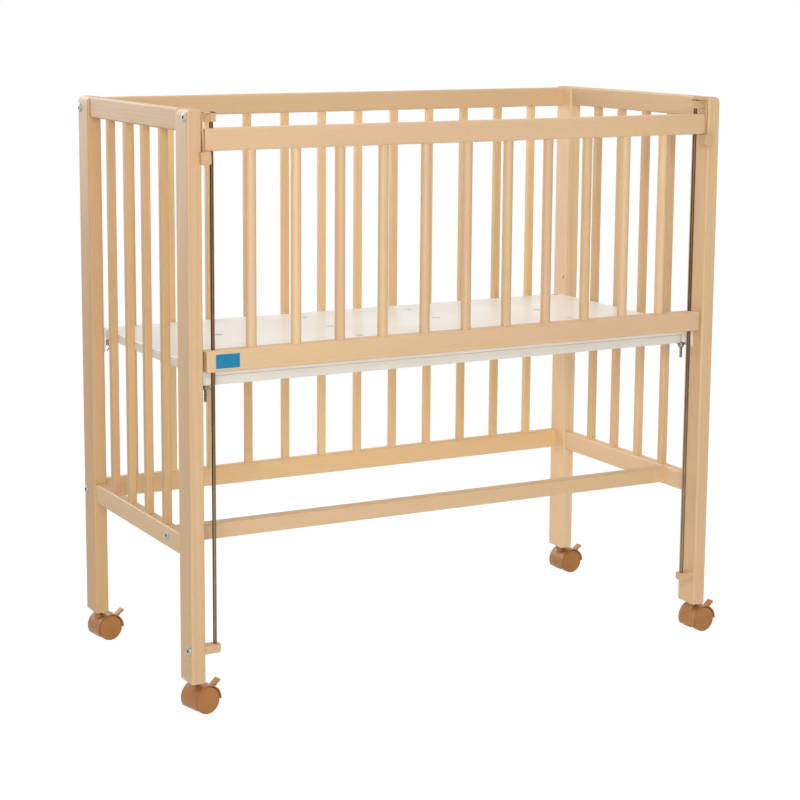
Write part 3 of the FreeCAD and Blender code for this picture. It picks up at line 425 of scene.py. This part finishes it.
# %% Paint the mouldings
def moulded(name, colour, drift_colour, gloss, scuff=0.0, scuff_colour=None):
    """Etched plastic. gloss is its roughness, and scuff the share of small pale scratches."""
    plastic = Finish(name)
    point = plastic.point()
    drift = plastic.noise(point, 34, detail=2).between(0.3, 0.7)
    grit = plastic.noise(point, 1900, detail=1)
    rubbed = plastic.noise(point, 90, detail=3, roughness=0.65).between(0.55, 0.75)
    colour = plastic.mix(drift * 0.6 + (grit - 0.5) * 0.25, colour, drift_colour)
    if scuff:
        lines = plastic.noise(plastic.stretch(point, (900, 120, 500)), detail=2).between(0.68, 0.74)
        colour = plastic.mix(lines * rubbed * scuff, colour, scuff_colour)
    plastic.set(
        Base_Color=colour,
        Roughness=gloss + (grit - 0.5) * 0.12 - rubbed * 0.10,
        Normal=plastic.bump(grit, 0.00003),
    )
    plastic.shader.inputs["IOR"].default_value = 1.5
    plastic.shader.inputs["Specular IOR Level"].default_value = 0.35
    return plastic.material


tan = moulded("tan plastic", srgb(210, 174, 131), srgb(200, 162, 119), 0.46)
bone = moulded("bone plastic", srgb(238, 232, 218), srgb(228, 220, 204), 0.40)
brown = (srgb(176, 121, 64), srgb(163, 108, 52))
castor_shell = moulded("brown castor shell", *brown, 0.36)
wheel_brown, scuffed = srgb(171, 117, 61), srgb(196, 156, 108)
castor_tread = moulded("brown castor wheel", wheel_brown, brown[1], 0.42, 0.6, scuffed)

for side in ("left", "right"):
    for piece in ("top_rod_bracket", "bottom_rod_bracket", "gate_catch"):
        give(f"{side}_{piece}", tan)
for corner in POSTS:
    give(f"{corner}_board_support", bone)
    for piece in ("body", "pedal"):
        give(f"{corner}_castor_{piece}", castor_shell)
    for piece in ("near_wheel", "far_wheel"):
        give(f"{corner}_castor_{piece}", castor_tread)

# %% [markdown]
# ## Steel
#
# Two kinds of steel are bare here. The guide rods are drawn: pulled through a die, which leaves streaks
# along the rod, and they were bronzed and then rubbed paler at the bottom by the sliding gate. The streaks
# are coloured from dark to light, so they are partly the die's marks and partly painted reflections running
# along the rod. Screws, bolts and nuts are zinc plated, and a plated surface has a bloom in small crystals:
# blue-white on the bolts, and duller on the board's clamps.

# %% Paint the steel
def drawn_rod(name):
    rod = Finish(name)
    point = rod.point()
    # Streaks along the rod: partly the die's marks and partly painted reflections, in their strong contrast.
    streaks_and_reflections = rod.noise(rod.stretch(point, (900, 900, 2.2)), detail=3, roughness=0.6).between(0.32, 0.68)
    low = 1 - rod.parts_of(point)[2].between(-0.42, 0.05)
    wipes = rod.noise(rod.stretch(point, (60, 60, 45)), detail=2).between(0.45, 0.7)
    bronze = rod.mix(streaks_and_reflections, srgb(46, 32, 22), srgb(118, 88, 62))
    rubbed = rod.mix(streaks_and_reflections, srgb(98, 84, 58), srgb(168, 156, 124))
    rod.set(
        Base_Color=rod.mix(low * 0.75 + wipes * 0.15, bronze, rubbed),
        Metallic=0.85,
        Roughness=0.28 + wipes * 0.14 + streaks_and_reflections * 0.06,
        Normal=rod.bump(streaks_and_reflections, 0.00002),
    )
    return rod.material


def plated(name, bright, dull, rough=0.30):
    zinc = Finish(name)
    point = zinc.point()
    crystals = zinc.noise(point, 1500, detail=2, roughness=0.7)
    bloom = zinc.noise(point, 240, detail=2).between(0.35, 0.70)
    zinc.set(
        Base_Color=zinc.mix(bloom * 0.7 + (crystals - 0.5) * 0.4, bright, dull),
        Metallic=0.9,
        Roughness=rough + bloom * 0.16,
        Normal=zinc.bump(crystals, 0.00003),
    )
    return zinc.material


rod_steel = drawn_rod("bronzed rod")
zinc = plated("zinc plate", srgb(176, 184, 192), srgb(120, 130, 140))
dull_zinc = plated("dull zinc plate", srgb(156, 157, 146), srgb(98, 99, 88), 0.34)
# A dark paint for the bolts' hexagon sockets: painted shade in the recess.
socket_shade_paint = moulded("painted socket shade", srgb(36, 36, 38), srgb(26, 26, 28), 0.5)
for side in ("left", "right"):
    give(f"{side}_guide_rod", rod_steel)
for name in ("frame_bolts", "bracket_bolts", "barrel_nuts", "support_screws", "castor_stems"):
    give(name, zinc)
for corner in POSTS:
    give(f"{corner}_castor_axle", zinc)
print(f"{len(bpy.data.materials)} materials in all")

# %% [markdown]
# ## Small pieces with a finer mesh
#
# The drawing keeps screws and nuts plain. Near the camera a bolt without a thread looks wrong, so the
# clamp bolts, their wing nuts and the label plate are made again here. Each is a skin over rings of
# points: a ring is one loop round the piece, and the skin joins each ring to the next. A thread is the
# same skin, with radii that rise and fall as the loop climbs.

# %% A skin over rings
def skin(name, shells, smooth=40):
    """One object from several shells, each a list of rings with equally many points."""
    points, faces = [], []
    for rings in shells:
        start, size = len(points), len(rings[0])
        points += [point for ring in rings for point in ring]
        for row in range(len(rings) - 1):
            low = start + row * size
            for k in range(size):
                after = (k + 1) % size
                faces.append((low + k, low + after, low + size + after, low + size + k))
        faces.append(tuple(start + k for k in reversed(range(size))))
        faces.append(tuple(start + (len(rings) - 1) * size + k for k in range(size)))
    mesh = bpy.data.meshes.new(name)
    mesh.from_pydata(points, [], faces)
    cleaner = bmesh.new()
    cleaner.from_mesh(mesh)
    bmesh.ops.recalc_face_normals(cleaner, faces=cleaner.faces)
    cleaner.to_mesh(mesh)
    cleaner.free()
    mesh.shade_smooth()
    mesh.set_sharp_from_angle(angle=math.radians(smooth))
    piece = bpy.data.objects.new(name, mesh)
    bpy.context.collection.objects.link(piece)
    return piece


def loop(centre, radius, height, sides):
    """A level ring round a centre. radius may be a number or depend on the angle."""
    ring = []
    for k in range(sides):
        angle = 2 * math.pi * k / sides
        reach = radius(angle) if callable(radius) else radius
        ring.append((centre[0] + reach * math.cos(angle), centre[1] + reach * math.sin(angle), height))
    return ring


# %% Clamp bolts with a real thread
MM = 0.001
CLAMP_OUT, CLAMP_BACK = 435 * MM, 194 * MM
CORNERS = [(side * CLAMP_OUT, row * CLAMP_BACK) for side in (-1, 1) for row in (-1, 1)]
BOLT_TOP, BOLT_END, THREAD_TOP = -0.2 * MM, -56.2 * MM, -24 * MM
THREAD_PITCH, THREAD_DEPTH = 0.8 * MM, 0.42 * MM
HEAD_RADIUS, SHANK_RADIUS, HEAD_TALL = 5.4 * MM, 2.45 * MM, 3.0 * MM
BOLT_SIDES, RINGS_PER_TURN = 20, 6
TAPER_LONG, TAPER_START = 2 * MM, 0.55


def thread_rings(centre):
    """The threaded length, from the bottom up."""
    steps = round((THREAD_TOP - BOLT_END) / THREAD_PITCH * RINGS_PER_TURN)
    rings = []
    for row in range(steps + 1):
        height = BOLT_END + (THREAD_TOP - BOLT_END) * row / steps
        taper = min(1.0, (height - BOLT_END) / TAPER_LONG + TAPER_START)

        def reach(angle, height=height, taper=taper):
            turn = (height / THREAD_PITCH - angle / (2 * math.pi)) % 1
            groove = abs(turn - 0.5) * 2
            return (SHANK_RADIUS - THREAD_DEPTH * groove) * taper

        rings.append(loop(centre, reach, height, BOLT_SIDES))
    return rings


def clamp_bolt_rings(centre):
    """Thread, plain shank, countersunk head and the recess in its top."""
    rings = thread_rings(centre)
    for radius, height in (
        (SHANK_RADIUS, THREAD_TOP + 0.3 * MM),
        (SHANK_RADIUS, BOLT_TOP - HEAD_TALL - 0.3 * MM),
        (HEAD_RADIUS, BOLT_TOP - 0.35 * MM),
        (HEAD_RADIUS, BOLT_TOP - 0.08 * MM),
        (HEAD_RADIUS - 0.3 * MM, BOLT_TOP),
        (2.0 * MM, BOLT_TOP),
        (1.8 * MM, BOLT_TOP - 0.15 * MM),
        (1.5 * MM, BOLT_TOP - 1.6 * MM),
    ):
        rings.append(loop(centre, radius, height, BOLT_SIDES))
    return rings


clamp_bolts = skin("clamp_bolts", [clamp_bolt_rings(corner) for corner in CORNERS])
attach(clamp_bolts, "frame")
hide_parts("board_clamp_bolts")
clamp_bolts.data.materials.append(dull_zinc)
print(f"clamp bolts: {len(clamp_bolts.data.polygons)} faces")

# %% [markdown]
# A wing nut is cast: a conical hub, and two ears that lean outwards. The nuts on the right are on with
# their ears up, and those on the left the other way round, with their ears hanging down. Each ear is a
# skin over ovals strung along a bent line, thick at the hub and thin and wide near its tip.

# %% Wing nuts
NUT_TOP = -29.0 * MM
NUT_TALL = 9.5
HUB_SIDES, EAR_SIDES = 28, 16
HUB_OUTLINE = (
    (2.6, -0.9), (3.4, -1.0), (3.7, -1.6), (4.3, -5.4),
    (4.9, -7.6), (4.9, -9.2), (4.6, -9.5), (2.6, -9.5),
)
EAR_LINE = ((2.4, -6.2), (4.2, -5.4), (5.9, -4.2), (7.4, -2.7), (8.4, -1.2), (8.8, -0.5))
EAR_WIDE = (2.5, 2.5, 2.8, 3.0, 2.4, 1.1)
EAR_THICK = (1.9, 1.5, 1.15, 1.0, 0.85, 0.45)


def nut_height(centre, height):
    """A height on the nut. On the left the nut is upside down."""
    return NUT_TOP + (height if centre[0] > 0 else -NUT_TALL - height) * MM


def hub_rings(centre):
    """The conical hub, with the bolt running through it."""
    rings = []
    for reach, height in HUB_OUTLINE:
        rings.append(loop(centre, reach * MM, nut_height(centre, height), HUB_SIDES))
    return rings


def ear_rings(centre, way):
    """One ear, as ovals square to its bent middle line."""
    rings = []
    count = len(EAR_LINE)
    for k, (out, down) in enumerate(EAR_LINE):
        before, after = EAR_LINE[max(0, k - 1)], EAR_LINE[min(count - 1, k + 1)]
        along = Vector((after[0] - before[0], 0, after[1] - before[1])).normalized()
        across = Vector((-along.z, 0, along.x))
        ring = []
        for step in range(EAR_SIDES):
            angle = 2 * math.pi * step / EAR_SIDES
            swing = across * (EAR_THICK[k] * math.cos(angle))
            y = EAR_WIDE[k] * math.sin(angle)
            x, z = out + swing.x, down + swing.z
            ring.append((centre[0] + way * x * MM, centre[1] + y * MM, nut_height(centre, z)))
        rings.append(ring)
    return rings


shells = []
for corner in CORNERS:
    shells.append(hub_rings(corner))
    shells += [ear_rings(corner, way) for way in (-1, 1)]
wing_nuts = skin("wing_nuts", shells, 50)
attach(wing_nuts, "frame")
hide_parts("board_wing_nuts")
wing_nuts.data.materials.append(dull_zinc)
print(f"wing nuts: {len(wing_nuts.data.polygons)} faces")

# %% [markdown]
# The plate at the gate's left end is a blue sticker under a drop of clear resin, so its face is a little
# crowned and its corners are round. A pale line runs round its edge.

# %% The label plate
label_low, label_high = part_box("gate_label_plate")
LABEL_ROUND, LABEL_CROWN, LABEL_BORDER = 2.0 * MM, 0.35 * MM, 0.7 * MM
SMALLEST_ROUND, CORNER_STEPS = 0.2 * MM, 6
CROWN_INSETS = (0.35, 0.8, 1.6, 3.0, 5.0, 8.0)
label_middle = [(low + high) / 2 for low, high in zip(label_low, label_high)]
half_long = (label_high[0] - label_low[0]) / 2
half_tall = (label_high[2] - label_low[2]) / 2


def plate_ring(inset, front):
    """A rounded rectangle, inset from the plate's outline, at one depth."""
    ring = []
    radius = max(LABEL_ROUND - inset, SMALLEST_ROUND)
    for quarter, (right, up) in enumerate(((1, 1), (-1, 1), (-1, -1), (1, -1))):
        middle_x = label_middle[0] + right * (half_long - inset - radius)
        middle_z = label_middle[2] + up * (half_tall - inset - radius)
        for step in range(CORNER_STEPS + 1):
            angle = math.pi / 2 * (quarter + step / CORNER_STEPS)
            ring.append((middle_x + radius * math.cos(angle), front, middle_z + radius * math.sin(angle)))
    return ring


back_face, front_face = label_high[1], label_low[1]
rings = [plate_ring(0, back_face), plate_ring(0, front_face + 0.3 * MM)]
rings.append(plate_ring(0.1 * MM, front_face + 0.1 * MM))
for inset in CROWN_INSETS:
    rise = LABEL_CROWN * (1 - (1 - inset / CROWN_INSETS[-1]) ** 2)
    rings.append(plate_ring(inset * MM, front_face - rise))
label = skin("label", [rings], 60)
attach(label, "gate")
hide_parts("gate_label_plate")


def resin_label(name):
    """Blue under clear resin, with a pale line round its edge."""
    resin = Finish(name)
    point = resin.point()
    x, _, z = resin.parts_of(point)
    past_long = abs(x - label_middle[0]) - (half_long - LABEL_BORDER)
    past_tall = abs(z - label_middle[2]) - (half_tall - LABEL_BORDER)
    line = past_long.math("MAXIMUM", past_tall).between(-0.15 * MM, 0.15 * MM)
    cloud = resin.noise(point, 120, detail=2).between(0.3, 0.7)
    blue = resin.mix(cloud * 0.5, srgb(6, 126, 164), srgb(4, 112, 152))
    resin.set(
        Base_Color=resin.mix(line, blue, srgb(150, 200, 214)),
        Roughness=0.16 + cloud * 0.06,
        Normal=resin.bump(resin.noise(point, 300, detail=1), 0.00002),
        Coat_Weight=0.12,
    )
    resin.shader.inputs["Specular IOR Level"].default_value = 0.3
    return resin.material


label.data.materials.append(resin_label("blue resin label"))
print(f"label plate: {half_long * 2 / MM:.0f} by {half_tall * 2 / MM:.1f} mm")

# %% [markdown]
# The top rod brackets are moulded with ribs, like most small plastic parts: a block round the rod's end, a
# panel that holds the bolt, a rim over it and beside it, a rib in a quarter circle on its front, and a
# foot behind the catch that lies on the post. Each is a slab with softened edges, drawn from the front
# in millimetres.

# %% Top rod brackets
BRACKET_FRONT, PANEL_FRONT, FOOT_FRONT, BRACKET_BACK = -225.5, -222.6, -212.4, -209.5
BRACKET_LOW, BRACKET_HIGH, SOFT_EDGE = 363.0, 377.0, 0.45
SLEEVE, RIM_END, POST_FACE = (428.3, 436.7), 448.0, 452.0
RIB_THICK, RIM_THICK = 1.3, 1.6
RIB_CENTRE, RIB_REACH = (SLEEVE[1] + 0.3, BRACKET_LOW + 1.5), 9.6
RIB_STEPS, RIB_LAP = 10, 0.04


def slab(side, outline, front, back):
    """A slab between two depths. outline holds (distance from the crib's middle, height)."""
    count = len(outline)
    middle = [sum(point[axis] for point in outline) / count for axis in (0, 1)]
    rings = []
    steps = ((front, SOFT_EDGE), (front + SOFT_EDGE, 0), (back - SOFT_EDGE, 0), (back, SOFT_EDGE))
    for depth, inset in steps:
        ring = []
        for out, up in outline:
            away = Vector((out - middle[0], up - middle[1]))
            shrink = 1 - inset / max(away.length, inset * 2)
            out, up = middle[0] + away.x * shrink, middle[1] + away.y * shrink
            ring.append((side * out * MM, depth * MM, up * MM))
        rings.append(ring)
    return rings


def block_outline(low, high, bottom, top):
    """A rectangle with its corners cut off a little."""
    cut = SOFT_EDGE
    return [
        (low + cut, bottom), (high - cut, bottom), (high, bottom + cut), (high, top - cut),
        (high - cut, top), (low + cut, top), (low, top - cut), (low, bottom + cut),
    ]


def rib_slabs(side):
    """The quarter circle, in short pieces that follow each other and overlap a little."""
    made = []
    inner = RIB_REACH - RIB_THICK
    for k in range(RIB_STEPS):
        first, last = (math.pi / 2 * (k + share) / RIB_STEPS for share in (-RIB_LAP, 1 + RIB_LAP))
        piece = []
        for angle, radius in ((first, inner), (first, RIB_REACH), (last, RIB_REACH), (last, inner)):
            out = RIB_CENTRE[0] + radius * math.cos(angle)
            piece.append((out, RIB_CENTRE[1] + radius * math.sin(angle)))
        made.append(slab(side, piece, BRACKET_FRONT, PANEL_FRONT))
    return made


flange_low = BRACKET_HIGH - RIM_THICK
BRACKET_SLABS = (
    (block_outline(*SLEEVE, BRACKET_LOW, BRACKET_HIGH), BRACKET_FRONT, BRACKET_BACK),
    (block_outline(SLEEVE[0], RIM_END, flange_low, BRACKET_HIGH), BRACKET_FRONT, FOOT_FRONT),
    (block_outline(RIM_END - RIM_THICK, RIM_END, BRACKET_LOW, BRACKET_HIGH), BRACKET_FRONT, FOOT_FRONT),
    (block_outline(SLEEVE[1] - 1, RIM_END - 1, BRACKET_LOW, flange_low + 1), PANEL_FRONT, FOOT_FRONT),
    (block_outline(SLEEVE[1] - 1, POST_FACE, BRACKET_LOW, BRACKET_HIGH), FOOT_FRONT, BRACKET_BACK),
)
for side, way in (("left", -1), ("right", 1)):
    shells = [slab(way, *drawn) for drawn in BRACKET_SLABS]
    bracket = skin(f"{side}_moulded_bracket", shells + rib_slabs(way), 30)
    bracket.data.materials.append(tan)
    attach(bracket, "frame")
    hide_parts(f"{side}_top_rod_bracket")
print(f"each bracket: {len(bracket.data.polygons)} faces")

# %% [markdown]
# The frame is pulled together by button-head bolts: a low dome with a hexagon socket. The dome is the
# same skin over rings, lying on its side, and its inner rings are hexagons instead of circles. The
# socket is a deep hole, so its faces get a dark paint of their own: painted shade in the recess.

# %% Button-head bolts
HEAD_REACH, HEAD_RISE, HEAD_RIM = 7.0, 2.5, 0.8
SOCKET_HALF, SHANK, DARK_REACH = 2.0, 3.0, 2.7 * MM
BUTTON_SIDES = 36


def hexagon(half):
    """How far a hexagon reaches at an angle, if its flats are half from its middle."""
    return lambda angle: half / math.cos((angle % (math.pi / 3)) - math.pi / 6)


def dome(reach):
    """How far the dome stands out at a distance from its middle."""
    return HEAD_RIM + (HEAD_RISE - HEAD_RIM) * (1 - (reach / HEAD_REACH) ** 2)


def bolt_rings(side, seat, y, z, grip):
    """One bolt, in millimetres. seat is how far the head's seat is from the crib's middle."""
    outline = [(SHANK, -grip), (SHANK, 0), (HEAD_REACH - 0.4, 0), (HEAD_REACH, 0.15), (HEAD_REACH, 0.6)]
    outline += [(reach, dome(reach)) for reach in (6.85, 6.3, 5.4, 4.4, 3.4, 2.8)]
    outline += [(hexagon(SOCKET_HALF + 0.15), dome(2.6)), (hexagon(SOCKET_HALF), dome(2.6) - 0.2)]
    outline += [(hexagon(SOCKET_HALF - 0.05), 0.75), (0.6, 0.70)]
    rings = []
    for reach, out in outline:
        flat = loop((y, z), reach, side * (seat + out), BUTTON_SIDES)
        rings.append([(x * MM, a * MM, b * MM) for a, b, x in flat])
    return rings


def dark_inside(piece, axes, dark, reach):
    """Paints the faces that lie within reach of one of the axes, which run along X."""
    piece.data.materials.append(dark)
    for face in piece.data.polygons:
        middle = face.center
        if any(math.hypot(middle.y - y, middle.z - z) < reach for y, z in axes):
            face.material_index = 1


# A bolt's place is its seat's distance from the crib's middle, then Y, Z and the length of its shank.
POST_FACE_OUT, RAIL_FACE_OUT = 475, 472
BACK_RAIL_Y, STRETCHER_Y, ROD_Y = 218, -128.5, -217.5
POST_GRIP, BRACKET_GRIP, STRETCHER_GRIP = 69, 37, 63
BOLT_PLACES = {
    "frame_bolts": [
        (POST_FACE_OUT, BACK_RAIL_Y, 362, POST_GRIP),
        (POST_FACE_OUT, BACK_RAIL_Y, -275, POST_GRIP),
        (RAIL_FACE_OUT, STRETCHER_Y, -272.1, STRETCHER_GRIP),
    ],
    "bracket_bolts": [
        (POST_FACE_OUT, ROD_Y, 370, BRACKET_GRIP),
        (POST_FACE_OUT, ROD_Y, -430.5, BRACKET_GRIP),
    ],
}
for node, places in BOLT_PLACES.items():
    shells = [bolt_rings(side, *place) for side in (-1, 1) for place in places]
    bolts = skin(f"button_{node}", shells, 35)
    bolts.data.materials.append(zinc)
    # The sockets' faces take the dark paint, which is painted shade.
    dark_inside(bolts, [(y * MM, z * MM) for _, y, z, _ in places], socket_shade_paint, DARK_REACH)
    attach(bolts, "frame")
    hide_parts(node)
    print(f"{node}: {len(shells)} bolts, {len(bolts.data.polygons)} faces")

# %% [markdown]
# ## Light and ground
#
# The photograph was taken on white, with large soft lights and hardly a shadow. What the camera, a
# mirror or a pane looks at directly is told apart by the Light Path node: it sees a white backdrop and
# a floor that glows, while the crib itself is lit by the lamps and a weak even light. Near the crib the
# floor also takes their faint shadow, and further away it fades to the backdrop's white.

# %% The floor
FLOOR_HALF = 6
FADE_STARTS, FADE_ENDS = 0.7, 1.5
FLOOR_WHITE, FLOOR_FAINT, FLOOR_GLOW = 0.92, 0.10, 0.955
CORNER_SIGNS = ((-1, -1), (1, -1), (1, 1), (-1, 1))

ground = bpy.data.meshes.new("floor")
ground.from_pydata([(x * FLOOR_HALF, y * FLOOR_HALF, 0) for x, y in CORNER_SIGNS], [], [(0, 1, 2, 3)])
floor = bpy.data.objects.new("floor", ground)
floor.location = (0, 0, cad_box[0][2])
bpy.context.collection.objects.link(floor)


def grey(share):
    return (share, share, share, 1)


def seen(nodes):
    """1 for what the camera, a mirror or a pane looks at directly, else 0."""
    path = nodes.node("ShaderNodeLightPath").socket.node
    rays = ("Is Camera Ray", "Is Glossy Ray", "Is Transmission Ray")
    total, *others = (Value(nodes, path.outputs[ray]) for ray in rays)
    for other in others:
        total = total.math("MAXIMUM", other)
    return total


def paint_floor(nodes):
    """Diffuse white for the lamps' light, and glow with a faint shadow for what is seen."""
    chalk = nodes.node("ShaderNodeBsdfDiffuse", {}, {"Color": grey(FLOOR_WHITE)})
    glow = nodes.node("ShaderNodeEmission", {}, {"Strength": FLOOR_GLOW})
    faint = nodes.node("ShaderNodeBsdfDiffuse", {}, {"Color": grey(FLOOR_FAINT)})
    near = nodes.node("ShaderNodeAddShader", {}, {0: glow, 1: faint})
    spot = nodes.node("ShaderNodeTexCoord", output="Object")
    away = nodes.node("ShaderNodeVectorMath", {"operation": "LENGTH"}, {0: spot}, "Value")
    limits = {"Value": away, "From Min": FADE_STARTS, "From Max": FADE_ENDS}
    fade = nodes.node("ShaderNodeMapRange", {}, limits)
    paper = nodes.node("ShaderNodeEmission")
    looked_at = nodes.shade(fade, near, paper)
    nodes.close("ShaderNodeOutputMaterial", nodes.shade(seen(nodes), chalk, looked_at))


floor_paint = bpy.data.materials.new("white floor")
floor_paint.use_nodes = True
floor_paint.node_tree.nodes.clear()
paint_floor(Nodes(floor_paint.node_tree))
ground.materials.append(floor_paint)
print(f"the floor lies {-floor.location.z * 1000:.0f} mm under the board, and fades from {FADE_STARTS} m out")

# %% [markdown]
# The world behind everything is white to look at and gives only a weak, even light. That light keeps the
# insides of the castors and the undersides from going black.

# %% The backdrop
CALM_LIGHT = 0.13
world = bpy.data.worlds.new("studio")
world.use_nodes = True
world.node_tree.nodes.clear()
backdrop = Nodes(world.node_tree)
calm = backdrop.node("ShaderNodeBackground", {}, {"Color": grey(1), "Strength": CALM_LIGHT})
white = backdrop.node("ShaderNodeBackground", {}, {"Color": grey(1), "Strength": 1.0})
backdrop.close("ShaderNodeOutputWorld", backdrop.shade(seen(backdrop), calm, white))
scene.world = world
print(f"even light from all round: {CALM_LIGHT}")

# %% [markdown]
# Five soft lamps look at the crib's middle. The one near the camera lights the faces that the camera
# sees, one overhead and one low in front soften it, and a wide one behind stands for the bright
# backdrop and lights the inner faces. The last one keeps the right end from going dark when the crib is
# seen from that side.

# %% The lamps
CRIB_MIDDLE = Vector((0, 0, -0.05))
LAMPS = {
    "near the camera": ((-1.8, -3.6, 1.6), 1.5, 62),
    "overhead": ((0.0, -0.3, 3.2), 2.6, 52),
    "low front": ((-2.5, -4.5, 0.1), 2.4, 97),
    "behind": ((-1.0, 4.5, 1.4), 3.5, 150),
    "right side": ((5.0, 0.6, 1.2), 2.4, 85),
}


def lamp(name, place, size, watts):
    """A square soft lamp that looks at the crib's middle."""
    light = bpy.data.lights.new(name, "AREA")
    light.size = size
    light.energy = watts
    holder = bpy.data.objects.new(name, light)
    holder.location = place
    look = CRIB_MIDDLE - Vector(place)
    holder.rotation_euler = look.to_track_quat("-Z", "Y").to_euler()
    bpy.context.collection.objects.link(holder)


for name, (place, size, watts) in LAMPS.items():
    lamp(name, place, size, watts)
scene.view_settings.view_transform = "Standard"
print(f"{len(LAMPS)} lamps, {sum(watts for _, _, watts in LAMPS.values())} W in all")
